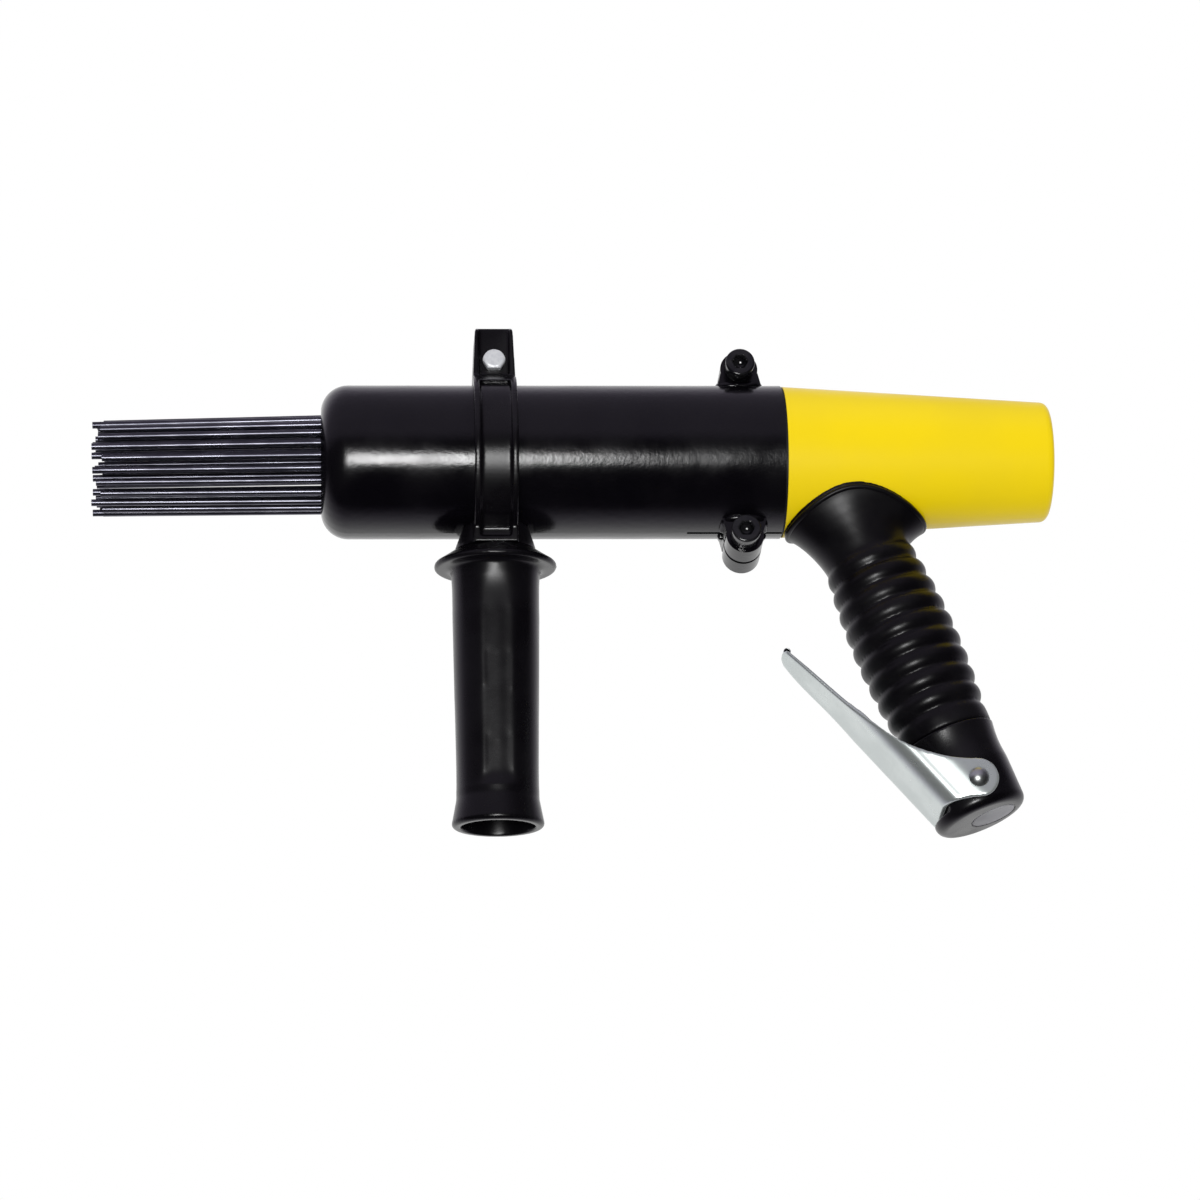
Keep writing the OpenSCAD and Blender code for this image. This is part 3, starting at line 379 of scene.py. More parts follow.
# %% Coated finishes
MM = 0.001
finishes = {
    "black_gloss": coated("black_enamel", (0.0009, 0.0007, 0.0014), (0.0016, 0.0013, 0.0022),
                          rough=(0.15, 0.23), smudge_scale=45.0, grain=(330.0, 1300.0, 0.30),
                          strength=0.20, depth=0.4 * MM, specular=0.46),
    "yellow_gloss": coated("yellow_enamel", (0.77, 0.568, 0.0), (0.745, 0.548, 0.0),
                           rough=(0.30, 0.40), smudge_scale=22.0, grain=(300.0, 1400.0, 0.30),
                           strength=0.05, depth=0.4 * MM, specular=0.22),
    "rubber": coated("boot_rubber", (0.0018, 0.0014, 0.0022), (0.0032, 0.0028, 0.0038),
                     rough=(0.30, 0.38), smudge_scale=60.0, grain=(900.0, 4200.0, 0.65),
                     strength=0.06, depth=0.3 * MM, specular=0.28),
    "black_body": coated("cast_black", (0.0014, 0.0011, 0.0018), (0.0026, 0.0022, 0.0032),
                         rough=(0.24, 0.34), smudge_scale=50.0, grain=(700.0, 2600.0, 0.5),
                         strength=0.10, depth=0.3 * MM, specular=0.42),
    "black_plastic": coated("black_nylon", (0.0014, 0.0011, 0.0018), (0.0026, 0.0022, 0.0032),
                            rough=(0.22, 0.32), smudge_scale=45.0, grain=(650.0, 2400.0, 0.5),
                            strength=0.08, depth=0.3 * MM, specular=0.44),
    "grip_nylon": coated("grip_nylon", (0.0014, 0.0011, 0.0018), (0.0026, 0.0022, 0.0032),
                         rough=(0.25, 0.30), smudge_scale=45.0, grain=(650.0, 2400.0, 0.5),
                         strength=0.06, depth=0.3 * MM, specular=0.34),
    "black_screw": coated("blackened_screw", (0.003, 0.003, 0.004), (0.009, 0.009, 0.010),
                          rough=(0.10, 0.18), smudge_scale=160.0, grain=(1200.0, 4000.0, 0.5),
                          strength=0.06, depth=0.2 * MM),
    "grey_plastic": coated("grey_plug", (0.35, 0.35, 0.375), (0.40, 0.40, 0.425),
                           rough=(0.42, 0.55), smudge_scale=120.0, grain=(1500.0, 5000.0, 0.5),
                           strength=0.10, depth=0.2 * MM),
    "seal_rubber": coated("seal_black", (0.003, 0.003, 0.004), (0.006, 0.006, 0.006),
                          rough=(0.5, 0.65), smudge_scale=90.0, grain=(900.0, 4000.0, 0.6),
                          strength=0.12, depth=0.2 * MM),
}
print("coated finishes:", sorted(finishes))

# %% [markdown]
# Bare and plated metal
#
# Zinc, needle steel, turned steel and bronze are metals, so their colour tints the reflection. Lines
# from rolling or turning stretch along one axis, and cloudy patches change how rough the plating is.
# The clamp bolt has been handled until its plating went dull, so it is part metal and part coat.

# %% Metal finishes
LINE_SHARE, LINE_DEPTH = 0.5, 0.2 * MM
TONE_LOW, TONE_HIGH = 0.25, 0.75
DULL_METAL = 0.35


def metal(name, color, shade, rough, smudge_scale, line_scale, stretch, strength):
    material = bpy.data.materials.new(name)
    material.use_nodes = True
    tree = material.node_tree
    shader = tree.nodes["Principled BSDF"]
    smudge = add_group(tree, smudge_group, Scale=smudge_scale, Low=rough[0], High=rough[1])
    lines = add_group(tree, lines_group, Scale=line_scale, Stretch=stretch)["Lines"]
    line_part = math_node(tree, "MULTIPLY", lines, LINE_SHARE)
    smudge_part = math_node(tree, "MULTIPLY", smudge["Mask"], 1.0 - LINE_SHARE)
    tone = step_between(tree, math_node(tree, "ADD", line_part, smudge_part), TONE_LOW, TONE_HIGH, 0.0, 1.0)
    link(tree, (two_tone(tree, tone, color, shade), shader.inputs["Base Color"]),
         (smudge["Value"], shader.inputs["Roughness"]),
         (bump(tree, lines, strength, LINE_DEPTH), shader.inputs["Normal"]))
    shader.inputs["Metallic"].default_value = 1.0
    return material


finishes["zinc"] = metal("zinc_plate", (0.63, 0.645, 0.65), (0.58, 0.595, 0.605),
                         rough=(0.24, 0.30), smudge_scale=45.0,
                         line_scale=500.0, stretch=(1.0, 0.12, 1.0), strength=0.03)
finishes["needle_steel"] = metal("needle_steel", (0.13, 0.13, 0.155), (0.085, 0.085, 0.105),
                                 rough=(0.27, 0.33), smudge_scale=60.0,
                                 line_scale=900.0, stretch=(0.01, 1.0, 1.0), strength=0.02)
finishes["machined_steel"] = metal("turned_steel", (0.46, 0.47, 0.49), (0.36, 0.37, 0.39),
                                   rough=(0.22, 0.34), smudge_scale=60.0,
                                   line_scale=1600.0, stretch=(1.0, 0.04, 0.04), strength=0.06)
finishes["bronze"] = metal("bearing_bronze", (0.56, 0.37, 0.16), (0.46, 0.29, 0.12),
                           rough=(0.24, 0.38), smudge_scale=80.0,
                           line_scale=1200.0, stretch=(1.0, 0.06, 0.06), strength=0.06)

dull = coated("dull_zinc", (0.66, 0.67, 0.69), (0.52, 0.53, 0.56),
              rough=(0.34, 0.5), smudge_scale=420.0, grain=(700.0, 2600.0, 0.5),
              strength=0.25, depth=0.3 * MM)
dull.node_tree.nodes["Principled BSDF"].inputs["Metallic"].default_value = DULL_METAL
finishes["bolt_zinc"] = dull
print("all finishes so far:", len(finishes))

# %% [markdown]
# A bow in the lever's ears
#
# Pressed sheet is never quite flat. Past the bend the ears still bow a little as far as the pin, and
# that bow spreads the bend's white reflection over half of the ear. The bow could be modelled, but it
# is less than two millimetres deep, so a height that changes with the depth behind the lever's face
# tilts the surface in the shader. A colour ramp draws a smooth curve through the heights given here.

# %% Lever zinc
LEVER_TILT = math.radians(40.0)
LEVER_TIP = Vector((303.0, 0.0, -92.7)) * MM
into_lever = Vector((math.cos(LEVER_TILT), 0.0, math.sin(LEVER_TILT)))
EAR_MM, BOW_DEPTH, LEVER_METAL = 22.0, 1.80 * MM, 0.8
READY_STOPS = 2
bow_heights = [(0.0, 0.490), (1.0, 0.490), (2.0, 0.454), (3.0, 0.352), (4.0, 0.211), (5.0, 0.080),
               (6.0, 0.008), (7.0, 0.0), (8.0, 0.033), (9.5, 0.137), (11.0, 0.295), (12.5, 0.474),
               (14.0, 0.640), (16.0, 0.823), (18.0, 0.939), (20.0, 0.989), (22.0, 1.0)]

lever_zinc = metal("lever_zinc", (0.60, 0.645, 0.635), (0.55, 0.595, 0.585),
                   rough=(0.27, 0.32), smudge_scale=45.0,
                   line_scale=500.0, stretch=(1.0, 0.12, 1.0), strength=0.03)
tree = lever_zinc.node_tree
shader = tree.nodes["Principled BSDF"]
shader.inputs["Metallic"].default_value = LEVER_METAL
place = tree.nodes.new("ShaderNodeTexCoord")
depth = tree.nodes.new("ShaderNodeVectorMath")
depth.operation = "DOT_PRODUCT"
depth.inputs[1].default_value = into_lever
link(tree, (place.outputs["Object"], depth.inputs[0]))
face = LEVER_TIP.dot(into_lever)
share = step_between(tree, depth.outputs["Value"], face, face + EAR_MM * MM, 0.0, 1.0)
curve = tree.nodes.new("ShaderNodeValToRGB")
curve.color_ramp.interpolation = "B_SPLINE"
for count, (millimetres, height) in enumerate(bow_heights):
    if count < READY_STOPS:
        stop = curve.color_ramp.elements[count]
        stop.position = millimetres / EAR_MM
    else:
        stop = curve.color_ramp.elements.new(millimetres / EAR_MM)
    stop.color = (height, height, height, 1.0)
bow = tree.nodes.new("ShaderNodeBump")
bow.inputs["Distance"].default_value = BOW_DEPTH
link(tree, (share, curve.inputs["Fac"]), (curve.outputs["Color"], bow.inputs["Height"]),
     (shader.inputs["Normal"].links[0].from_socket, bow.inputs["Normal"]))
link(tree, (bow.outputs["Normal"], shader.inputs["Normal"]))
finishes["lever_zinc"] = lever_zinc
print("lever zinc nodes:", len(tree.nodes))

# %% [markdown]
# Every solid gets its finish
#
# The part's record says which finish each solid wears, so one loop can dress them all. The lever's
# pins are plated as well, but their riveted heads are duller than the pressed sheet, so they get a
# zinc of their own.

# %% Finishes on the solids
finishes["pin_zinc"] = metal("pin_zinc", (0.66, 0.685, 0.68), (0.60, 0.63, 0.625),
                             rough=(0.30, 0.36), smudge_scale=90.0,
                             line_scale=500.0, stretch=(1.0, 1.0, 1.0), strength=0.03)
slot_of = {part["node"]: part["material_slot"] for part in frame["record"]["subparts"]}
for node, slot in slot_of.items():
    nodes[node].data.materials.clear()
    nodes[node].data.materials.append(finishes[slot])
nodes["lever_pins"].data.materials[0] = finishes["pin_zinc"]
print("finished solids:", len(slot_of))

# %% [markdown]
# Working on copies
#
# A solid is never changed. What needs a finer form starts as a copy of its solid, with the points of
# neighbouring facets merged, and stands in for it. Every copy needs the same few moves: pick it, apply
# a modifier to it, choose some of its points or faces in edit mode, and give it its finish and body.

# %% Helpers for copies
MERGE_WITHIN = 0.01 * MM


def pick(piece):
    bpy.ops.object.select_all(action="DESELECT")
    piece.select_set(True)
    bpy.context.view_layer.objects.active = piece


def applied(piece, kind, **settings):
    pick(piece)
    modifier = piece.modifiers.new(kind.lower(), kind)
    for name, value in settings.items():
        setattr(modifier, name, value)
    bpy.ops.object.modifier_apply(modifier=modifier.name)


def choose(piece, kind, wanted):
    pick(piece)
    bpy.ops.object.mode_set(mode="EDIT")
    bpy.ops.mesh.select_mode(type=kind)
    bpy.ops.mesh.select_all(action="DESELECT")
    bpy.ops.object.mode_set(mode="OBJECT")
    for element in piece.data.polygons if kind == "FACE" else piece.data.vertices:
        element.select = wanted(element)
    bpy.ops.object.mode_set(mode="EDIT")


def merged_copy(node, name):
    piece = bpy.data.objects.new(name, nodes[node].data.copy())
    bpy.context.collection.objects.link(piece)
    pick(piece)
    bpy.ops.object.mode_set(mode="EDIT")
    bpy.ops.mesh.select_all(action="SELECT")
    bpy.ops.mesh.remove_doubles(threshold=MERGE_WITHIN)
    bpy.ops.object.mode_set(mode="OBJECT")
    return piece


def dressed(piece, slot, body):
    piece.data.materials.clear()
    piece.data.materials.append(finishes[slot])
    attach(piece, body)
    print(piece.name, "faces:", len(piece.data.polygons), "on", body)
    return piece


print("helpers:", [helper.__name__ for helper in (pick, applied, choose, merged_copy, dressed)])

# %% [markdown]
# Round edges from a net
#
# Moulded, cast and pressed pieces have no knife edges, and a round edge is what catches the light. A
# bevel could round each edge, but on a solid of many small facets it fails. So the copy is rebuilt as
# an even net of small squares by the Remesh modifier and relaxed by the Smooth modifier, which rounds
# all edges at once. It is first turned so that its flat faces lie along the net, because a flat that
# crosses the net at an angle would come out wavy. What has to change in its form comes first or last.

# %% A softened copy of a solid
def softened(node, name, body, net, rounds, turn, first=None, last=None):
    piece = merged_copy(node, name)
    piece.data.transform(turn)
    if first:
        first(piece)
    applied(piece, "REMESH", mode="VOXEL", voxel_size=net)
    applied(piece, "SMOOTH", factor=0.5, iterations=rounds)
    if last:
        last(piece)
    piece.data.transform(turn.inverted())
    bpy.ops.object.shade_smooth()
    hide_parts(node)
    return dressed(piece, slot_of[node], body)


GRIP_TILT, HANDLE_LEAN = math.radians(20.0), math.radians(7.0)
along_grip = Matrix.Rotation(GRIP_TILT, 4, "Y")
along_handle = Matrix.Rotation(-HANDLE_LEAN, 4, "X")
along_lever = Matrix.Rotation(LEVER_TILT, 4, "Y")
print("turns in degrees:", [round(math.degrees(turn), 1) for turn in (GRIP_TILT, -HANDLE_LEAN, LEVER_TILT)])

# %% [markdown]
# The rubber boot
#
# The hand grips a moulded rubber boot: a saddle that flares out under the housing, then ten soft ribs.
# The flare's lip follows a cone, so it can't be spun from one profile. Its solid has the right form in
# flat facets, but rubber has none, and the net takes them away. A net frays at a thin lip, so the
# lip is first extruded a little way into the housing, where nobody sees it.

# %% Boot skin
HOUSING_X, HOUSING_L = 304.0 * MM, 118.5 * MM
HOUSING_FRONT_R, HOUSING_REAR_R = 34.0 * MM, 26.5 * MM
LIP_REACH, LIP_TOUCH = 1.6 * MM, 0.3 * MM


def on_the_lip(face):
    spot = along_grip.inverted() @ face.center
    share = min(max((spot.x - HOUSING_X) / HOUSING_L, 0.0), 1.0)
    cone_r = HOUSING_FRONT_R + (HOUSING_REAR_R - HOUSING_FRONT_R) * share
    return math.hypot(spot.y, spot.z) < cone_r + LIP_TOUCH


def lip_into_housing(piece):
    choose(piece, "FACE", on_the_lip)
    bpy.ops.mesh.extrude_region_move(TRANSFORM_OT_translate={"value": (0.0, 0.0, LIP_REACH)})
    bpy.ops.object.mode_set(mode="OBJECT")


softened("grip_boot", "boot_skin", "tool", net=0.7 * MM, rounds=14, turn=along_grip, first=lip_into_housing)

# %% [markdown]
# Cutting and joining
#
# Some forms are easiest to make as a plain block, cylinder or cone that is cut out of a piece or joined
# to it by the Boolean modifier. The tool shape is thrown away afterwards. A flat cut through a whole
# piece needs no tool shape: bisect slices it, drops one side and closes the cut. The last helper
# relaxes one zone of a piece and leaves the rest alone.

# %% Helpers for cutting and joining
def fresh(add, stretch=(1.0, 1.0, 1.0), **settings):
    bpy.ops.object.select_all(action="DESELECT")
    add(**settings)
    piece = bpy.context.object
    piece.scale = stretch
    bpy.ops.object.transform_apply(location=True, rotation=True, scale=True)
    return piece


def combine(piece, operation, other):
    applied(piece, "BOOLEAN", operation=operation, object=other, solver="EXACT")
    bpy.data.objects.remove(other)


def trimmed(piece, point, normal):
    pick(piece)
    bpy.ops.object.mode_set(mode="EDIT")
    bpy.ops.mesh.select_all(action="SELECT")
    bpy.ops.mesh.bisect(plane_co=point, plane_no=normal, use_fill=True, clear_outer=True)
    bpy.ops.object.mode_set(mode="OBJECT")


def relaxed(piece, name, rounds, inside):
    group = piece.vertex_groups.new(name=name)
    group.add([spot.index for spot in piece.data.vertices if inside(spot.co)], 1.0, "REPLACE")
    applied(piece, "SMOOTH", factor=0.5, iterations=rounds, vertex_group=group.name)
    piece.vertex_groups.clear()


print("helpers:", [helper.__name__ for helper in (fresh, combine, trimmed, relaxed)])

# %% [markdown]
# The side handle's clamp
#
# The clamp is a moulded band round the barrel. A channel runs round it and on down its foot, its bolt
# sits in a pocket that is open at the top, and its two tips slope away to the front. The top is
# first lifted a little. Then one wedge and one block cut the channel and the pocket, and a slanted
# slice makes the slope, before the net rounds all of it.

# %% Clamp
CLAMP_X = 176.5 * MM
CLAMP_TOP, TOP_BAND, TOP_RISE, TOP_SLOPE = 57.8 * MM, 3.0 * MM, 1.2 * MM, 0.45
CHANNEL_HALF, CHANNEL_FLOOR = 6.7 * MM, 16.3 * MM
CHANNEL_TOP, CHANNEL_FOOT = 29.5 * MM, 38.6 * MM
RAMP_DEEP, RAMP_TALL = 5.2 * MM, 3.7 * MM
LUG_FACE, POCKET_MIDDLE, POCKET_DEPTH, POCKET_TALL = 13.0 * MM, 56.0 * MM, 3.0 * MM, 20.0 * MM


def clamp_forms(piece):
    choose(piece, "VERT", lambda spot: spot.co.z > CLAMP_TOP - TOP_BAND)
    bpy.ops.transform.translate(value=(0.0, 0.0, TOP_RISE))
    bpy.ops.object.mode_set(mode="OBJECT")
    channel = fresh(bpy.ops.mesh.primitive_cube_add, size=1.0,
                    stretch=(2 * CHANNEL_HALF, 2 * CHANNEL_FLOOR, CHANNEL_FOOT - CHANNEL_TOP),
                    location=(CLAMP_X, -2 * CHANNEL_FLOOR, -(CHANNEL_TOP + CHANNEL_FOOT) / 2))
    trimmed(channel, (CLAMP_X, -CHANNEL_FLOOR - RAMP_DEEP, -CHANNEL_TOP),
            (0.0, RAMP_TALL / MM, RAMP_DEEP / MM))
    combine(piece, "DIFFERENCE", channel)
    pocket = fresh(bpy.ops.mesh.primitive_cube_add, size=1.0,
                   stretch=(2 * CHANNEL_HALF, 2 * POCKET_DEPTH, POCKET_TALL),
                   location=(CLAMP_X, -LUG_FACE, POCKET_MIDDLE))
    combine(piece, "DIFFERENCE", pocket)
    trimmed(piece, (CLAMP_X, POCKET_DEPTH - LUG_FACE, CLAMP_TOP + TOP_RISE), (0.0, -TOP_SLOPE, 1.0))


softened("handle_clamp", "clamp_shell", "side_handle", net=0.5 * MM, rounds=9, turn=along_handle,
         first=clamp_forms)

# %% [markdown]
# The side grip
#
# The grip is one hollow moulding with a thin flange at its top, long channels for the fingers and a
# foot that widens in a straight cone. Underneath, the flange's solid is a thick cone, so a ring is
# cut from it, and a hollow cone is joined on as the foot. The channels run out softly at their ends,
# so after the net those zones are relaxed many more times than the rest.

# %% Side grip
GRIP_FOOT, RIM_LIFT, RIM_L = 165.15 * MM, 1.8 * MM, 10.4 * MM
RIM_R, ABOVE_RIM_R, HOLLOW_R = 20.1 * MM, 18.1 * MM, 16.8 * MM
FLANGE_R, FLANGE_LOW, FLANGE_CUT, NECK_R = 27.0 * MM, 49.45 * MM, 5.0 * MM, 19.53 * MM
UNDER_FLANGE, PANEL_LOW = 53.95 * MM, 149.0 * MM
SKIN_R, FILLET_R = 16.6 * MM, 24.0 * MM
ROUND_SIDES, BORE_L, RING_MARGIN = 128, 0.1, 1.2
soft_zones = [("under_flange", 40, FLANGE_LOW - MM, UNDER_FLANGE + 4 * MM, FILLET_R),
              ("channel_tops", 170, FLANGE_LOW + 2.2 * MM, UNDER_FLANGE + 16 * MM, math.inf),
              ("channels", 90, UNDER_FLANGE + 2 * MM, PANEL_LOW, math.inf)]


def bored(piece, radius, below):
    bore = fresh(bpy.ops.mesh.primitive_cylinder_add, vertices=ROUND_SIDES, radius=radius,
                 depth=BORE_L, location=(CLAMP_X, 0.0, -below))
    combine(piece, "DIFFERENCE", bore)
    return piece


def grip_forms(piece):
    foot = fresh(bpy.ops.mesh.primitive_cone_add, vertices=ROUND_SIDES, radius1=RIM_R, radius2=ABOVE_RIM_R,
                 depth=RIM_L, location=(CLAMP_X, 0.0, -GRIP_FOOT + RIM_LIFT + RIM_L / 2))
    combine(piece, "UNION", bored(foot, HOLLOW_R, GRIP_FOOT))
    ring = fresh(bpy.ops.mesh.primitive_cylinder_add, vertices=ROUND_SIDES, radius=RING_MARGIN * FLANGE_R,
                 depth=FLANGE_CUT, location=(CLAMP_X, 0.0, -FLANGE_LOW - FLANGE_CUT / 2))
    combine(piece, "DIFFERENCE", bored(ring, NECK_R, FLANGE_LOW))


def soft_channels(piece):
    for name, rounds, low, high, widest in soft_zones:
        relaxed(piece, name, rounds, lambda spot: (
            low < -spot.z < high and SKIN_R < math.hypot(spot.x - CLAMP_X, spot.y) < widest))


grip_shell = softened("side_grip", "side_grip_shell", "side_handle", net=0.65 * MM, rounds=7,
                      turn=along_handle, first=grip_forms, last=soft_channels)
grip_shell.data.materials[0] = finishes["grip_nylon"]

# %% [markdown]
# The throttle body
#
# The end of the pistol grip is a casting, painted black. Sand or a die leaves every edge round. Its
# solid has the whole form, so the net needs no help here and is only made finer than the boot's.

# %% Throttle body
softened("throttle_body", "throttle_shell", "tool", net=0.42 * MM, rounds=9, turn=along_grip)

# %% [markdown]
# The lever
#
# The lever is pressed from zinc-plated sheet and gets a little wider and bends forward at its tip.
# Both could be drawn into the solid, but they fade out over a few centimetres. Proportional editing
# does just that: it moves the chosen points fully and their neighbours less and less.

# %% Lever sheet
TIP_SHIFT = Vector((-2.0, 0.0, 2.2)) * MM
TIP_BAND, TIP_LOOK, TIP_WIDER = 3.0 * MM, 5.0 * MM, 2.2
WIDEN_REACH, BEND_REACH = 36.0 * MM, 40.0 * MM


def wider_tip(piece):
    top = max(spot.co.z for spot in piece.data.vertices)
    choose(piece, "VERT", lambda spot: spot.co.z > top - TIP_BAND)
    bpy.ops.transform.resize(value=(1.0, TIP_WIDER, 1.0), center_override=(0.0, 0.0, 0.0),
                             use_proportional_edit=True, proportional_edit_falloff="SHARP",
                             proportional_size=WIDEN_REACH)
    bpy.ops.object.mode_set(mode="OBJECT")
    bpy.ops.object.mode_set(mode="EDIT")
    bpy.ops.transform.translate(value=TIP_SHIFT, use_proportional_edit=True,
                                proportional_edit_falloff="SMOOTH", proportional_size=BEND_REACH)
    bpy.ops.object.mode_set(mode="OBJECT")
    print("tip half width:", max(spot.co.y for spot in piece.data.vertices if spot.co.z > top - TIP_LOOK))


lever_sheet = softened("throttle_lever", "lever_sheet", "lever", net=0.4 * MM, rounds=30, turn=along_lever,
                       last=wider_tip)
lever_sheet.data.materials[0] = finishes["lever_zinc"]

# %% [markdown]
# The clamp bolt
#
# Spanners have worn the corners of the bolt's head nearly round. What lies inside both the bolt and a
# tube round its axis is kept, and the net softens the corners that are left.

# %% Clamp bolt
HEAD_R, HEAD_SIDES, HEAD_REACH = 5.05 * MM, 96, 0.2


def round_head(piece):
    corners = [Vector(corner) for corner in piece.bound_box]
    middle = sum(corners, Vector()) / len(corners)
    tube = fresh(bpy.ops.mesh.primitive_cylinder_add, vertices=HEAD_SIDES, radius=HEAD_R,
                 depth=HEAD_REACH, rotation=(math.pi / 2, 0.0, 0.0), location=middle)
    combine(piece, "INTERSECT", tube)


bolt_head = softened("clamp_bolt", "clamp_bolt_dull", "side_handle", net=0.25 * MM, rounds=14,
                     turn=along_handle, first=round_head)
bolt_head.data.materials[0] = finishes["bolt_zinc"]

# %% [markdown]
# The springs
#
# Two coil springs work inside: one sends the needles back, and one shuts the throttle valve. A spring
# gets shorter when the piece that leans on it moves. Here each one is a copy of its solid, with its
# facets merged and shaded smooth, that stands in for the solid with its own mesh.

# %% Springs
SPRING_EDGE = math.radians(50.0)


def giving_spring(node, name):
    piece = merged_copy(node, name)
    bpy.ops.object.shade_smooth_by_angle(angle=SPRING_EDGE)
    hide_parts(node)
    dressed(piece, slot_of[node], "tool")
    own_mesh(piece)


giving_spring("return_spring", "return_coil")
giving_spring("valve_spring", "valve_coil")

# %% [markdown]
# Screws with a drilled socket
#
# The two lug screws have hexagon sockets, and under each hexagon the drill has left a shallow hollow
# that shines like a tiny mirror. A slice of a sphere cuts that hollow before the net rounds the edges.

# %% Lug screws
LUG_X, LUG_Z, SOCKET_FLOOR_Y = 285.5 * MM, 40.0 * MM, -16.15 * MM
DRILL_R, DRILL_DEPTH, DRILL_ABOVE = 4.4 * MM, 1.0 * MM, 0.2 * MM


def drill_sockets(piece):
    for side in (-1.0, 1.0):
        ball = fresh(bpy.ops.mesh.primitive_uv_sphere_add, segments=48, ring_count=24, radius=DRILL_R,
                     location=(LUG_X, SOCKET_FLOOR_Y + DRILL_DEPTH - DRILL_R, side * LUG_Z))
        trimmed(ball, (LUG_X, SOCKET_FLOOR_Y - DRILL_ABOVE, 0.0), (0.0, -1.0, 0.0))
        combine(piece, "DIFFERENCE", ball)


softened("barrel_clamp_screws", "lug_screws", "tool", net=0.28 * MM, rounds=5, turn=Matrix.Identity(4),
         first=drill_sockets)

# %% [markdown]
# The rolled tip of the lever
#
# The lever's end is rolled back behind its face, so that no sharp edge meets the fingers. From the side
# the roll shows as one small dark hollow above the tip. A cylinder across the tip is a fair start:
# its two ends are inset and pushed in, and a bevel rounds what is left of the sheet. The faces at the
# bottom of both hollows get the black rubber finish: painted shade for the dark inside of the roll.

# %% Lever roll
ROLL_R, ROLL_WALL, ROLL_HALF, ROLL_SIDES = 1.6 * MM, 0.4 * MM, 4.4 * MM, 40
ROLL_BELOW, ROLL_BEHIND, ROLL_PUSH = 1.2 * MM, 2.3 * MM, 0.8
ROLL_BEVEL, ROLL_EDGE = 0.15 * MM, math.radians(40.0)
FACES_OUT, WALL_SHARE = 0.9, 0.9
up_lever = Vector((-math.sin(LEVER_TILT), 0.0, math.cos(LEVER_TILT)))
roll_middle = LEVER_TIP + up_lever * (TIP_SHIFT.z - ROLL_BELOW) + into_lever * (TIP_SHIFT.x + ROLL_BEHIND)

roll = fresh(bpy.ops.mesh.primitive_cylinder_add, vertices=ROLL_SIDES, radius=ROLL_R, depth=2 * ROLL_HALF,
             rotation=(math.pi / 2, 0.0, 0.0), location=roll_middle)
roll.name = "lever_roll"
for side in (-1.0, 1.0):
    choose(roll, "FACE", lambda face: face.normal.y * side > FACES_OUT)
    bpy.ops.mesh.inset(thickness=ROLL_WALL)
    inwards = (0.0, -side * ROLL_PUSH * ROLL_HALF, 0.0)
    bpy.ops.mesh.extrude_region_move(TRANSFORM_OT_translate={"value": inwards})
    bpy.ops.object.mode_set(mode="OBJECT")
applied(roll, "BEVEL", width=ROLL_BEVEL, segments=3, limit_method="ANGLE", angle_limit=ROLL_EDGE)
bpy.ops.object.shade_smooth_by_angle(angle=ROLL_EDGE)
dressed(roll, "zinc", "lever")
roll.data.materials[0] = finishes["pin_zinc"]
# Second slot: black rubber on the faces deep in both hollows, as painted shade inside the roll.
roll.data.materials.append(finishes["seal_rubber"])
for face in roll.data.polygons:
    middle = face.center - roll_middle
    if math.hypot(middle.x, middle.z) < ROLL_R - WALL_SHARE * ROLL_WALL:
        face.material_index = 1

# %% [markdown]
# A rope of points
#
# A weld bead is a rope of metal that follows a joint. A curve with a round bevel could give it, but
# would have to be made a mesh afterwards. A chain of points, each extruded from the last, is a mesh
# from the start. The Skin modifier wraps it in a tube whose thickness changes from point to point, as
# a hand-laid bead's does, and Subdivision rounds the tube.

# %% Helpers for ropes
WOBBLE = 2.4


def rope(name, points, radius, change, closed=False):
    piece = fresh(bpy.ops.mesh.primitive_plane_add, size=MM, location=points[0])
    piece.name = name
    bpy.ops.object.mode_set(mode="EDIT")
    bpy.ops.mesh.select_mode(type="VERT")
    bpy.ops.mesh.select_all(action="SELECT")
    bpy.ops.mesh.merge(type="CENTER")
    for last, spot in zip(points, points[1:]):
        bpy.ops.mesh.extrude_region_move(TRANSFORM_OT_translate={"value": spot - last})
    bpy.ops.object.mode_set(mode="OBJECT")
    if closed:
        choose(piece, "VERT", lambda spot: spot.index in (0, len(points) - 1))
        bpy.ops.mesh.edge_face_add()
        bpy.ops.object.mode_set(mode="OBJECT")
    skin = piece.modifiers.new("rope", "SKIN")
    for count, vertex in enumerate(piece.data.skin_vertices[0].data):
        thick = radius * (1.0 + change * math.sin(WOBBLE * count))
        vertex.radius = (thick, thick)
    bpy.ops.object.modifier_apply(modifier=skin.name)
    applied(piece, "SUBSURF", levels=2, render_levels=2)
    bpy.ops.object.shade_smooth()
    return piece


def outward(piece):
    pick(piece)
    bpy.ops.object.mode_set(mode="EDIT")
    bpy.ops.mesh.select_all(action="SELECT")
    bpy.ops.mesh.normals_make_consistent(inside=False)
    bpy.ops.object.mode_set(mode="OBJECT")
    return piece


print("helpers:", [helper.__name__ for helper in (rope, outward)])

# %% [markdown]
# Weld beads
#
# Two screw lugs are welded to the barrel, one above and one below, each split by the barrel's slit. One
# rope follows the joint round half of one lug. Mirrored copies make the other three, and since a
# mirrored skin is inside out, the normals of all four are turned outwards.

# %% Weld beads round the screw lugs
BARREL_R, BEAD_R, BEAD_CHANGE = 34.0 * MM, 2.0 * MM, 0.08
half_bead = [(8.9, -2.6), (9.0, -4.2), (8.9, -6.5), (8.6, -9.0), (7.6, -11.0), (5.8, -11.9), (3.0, -12.2)]
bead_path = [(-x, y) for x, y in half_bead] + [(0.0, -12.3)] + half_bead[::-1]


def on_barrel(x, y):
    return Vector((LUG_X + x * MM, y * MM, math.sqrt(BARREL_R ** 2 - (y * MM) ** 2)))


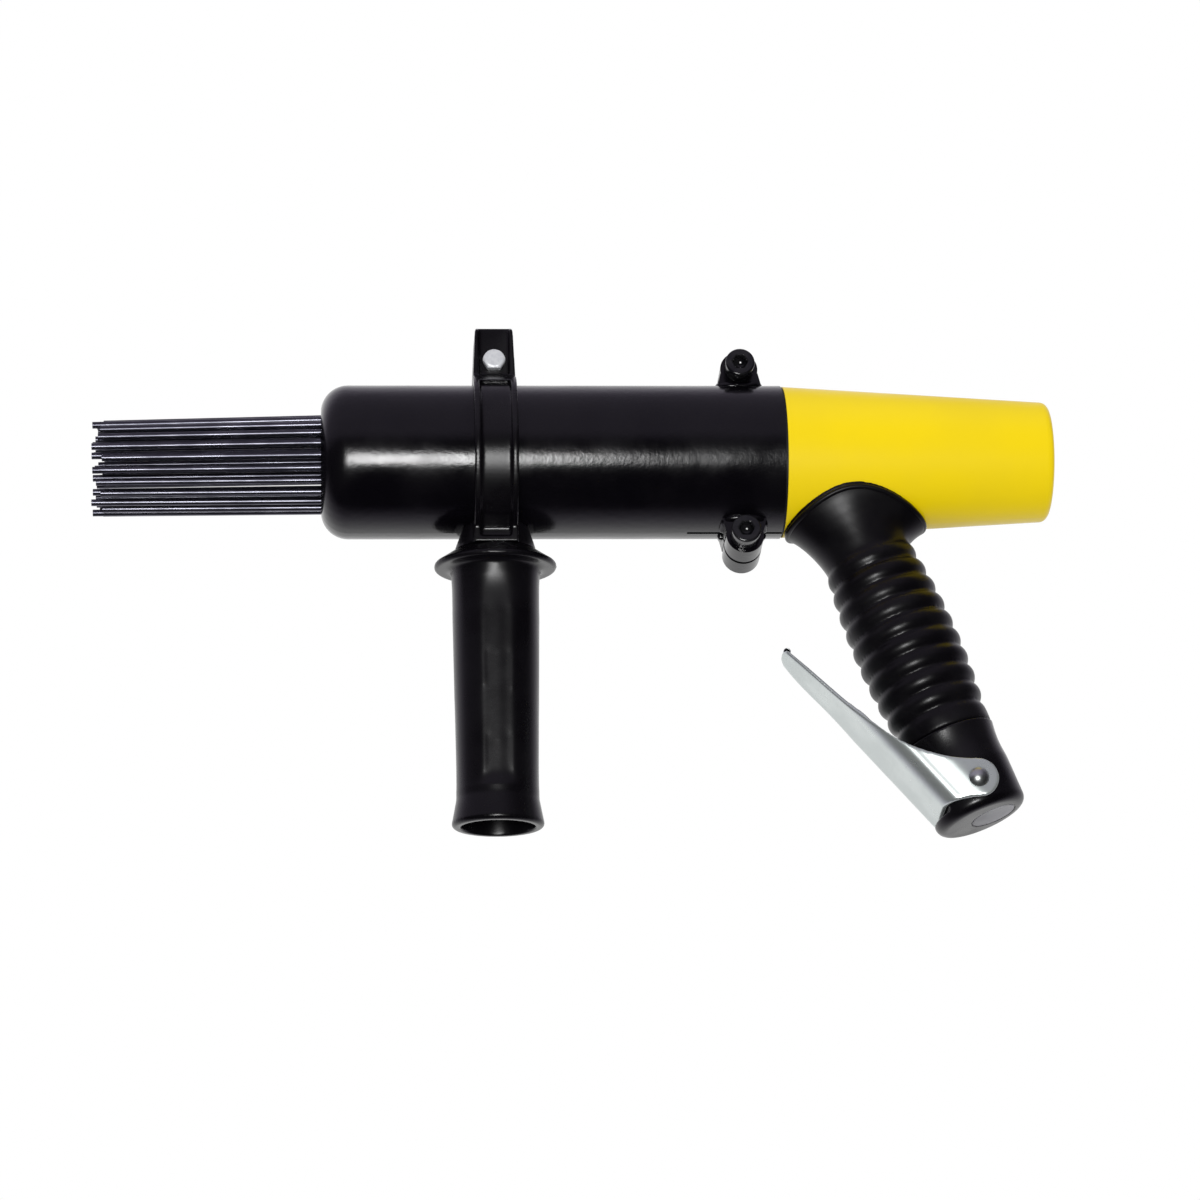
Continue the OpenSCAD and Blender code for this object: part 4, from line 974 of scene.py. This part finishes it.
first_bead = rope("weld_bead_1", [on_barrel(*spot) for spot in bead_path], BEAD_R, BEAD_CHANGE)
beads = [first_bead]
for number, mirror in enumerate([(1, -1, 1, 1), (1, 1, -1, 1), (1, -1, -1, 1)], start=2):
    bead = bpy.data.objects.new("weld_bead_%d" % number, first_bead.data.copy())
    bpy.context.collection.objects.link(bead)
    bead.data.transform(Matrix.Diagonal(mirror))
    beads.append(bead)
for bead in beads:
    dressed(outward(bead), "black_gloss", "tool")

# %% [markdown]
# The boot's lip
#
# The boot ends in a round lip that hugs the housing, and a thin highlight runs along it. Its path is
# where an oval about the grip meets the cone of the housing, a little below the surface. The same
# rope that made the weld beads follows that path, this time as a closed ring of even thickness.

# %% Lip ring
GRIP_X = 323.5 * MM
FLARE_LONG, FLARE_WIDE, FLARE_SKEW = 29.8 * MM, 24.8 * MM, 1.3 * MM
LIP_R, LIP_INSET, LIP_DROP = 1.35 * MM, 0.8 * MM, 1.7 * MM
LIP_STEPS, LIP_GUESSES = 72, 3
forward = Vector((-math.cos(GRIP_TILT), 0.0, -math.sin(GRIP_TILT)))
down_grip = Vector((math.sin(GRIP_TILT), 0.0, -math.cos(GRIP_TILT)))


def lip_spot(angle):
    wide = FLARE_WIDE - FLARE_SKEW * math.cos(angle)
    reach = FLARE_LONG * wide / math.hypot(wide * math.cos(angle), FLARE_LONG * math.sin(angle))
    ahead, across = reach * math.cos(angle), reach * math.sin(angle)
    cone_r = HOUSING_FRONT_R
    for guess in range(LIP_GUESSES):
        down = (math.sqrt(cone_r ** 2 - across ** 2) - ahead * math.sin(GRIP_TILT)) / math.cos(GRIP_TILT)
        x = GRIP_X + down * math.sin(GRIP_TILT) - ahead * math.cos(GRIP_TILT)
        cone_r = HOUSING_FRONT_R + (HOUSING_REAR_R - HOUSING_FRONT_R) * (x - HOUSING_X) / HOUSING_L
    inner = 1.0 - LIP_INSET / reach
    return Vector((GRIP_X, across * inner, 0.0)) + forward * ahead * inner + down_grip * (down + LIP_DROP)


lip_path = [lip_spot(2 * math.pi * step / LIP_STEPS) for step in range(LIP_STEPS)]
dressed(outward(rope("boot_lip", lip_path, LIP_R, change=0.0, closed=True)), "rubber", "tool")

# %% [markdown]
# The end

print("the end")
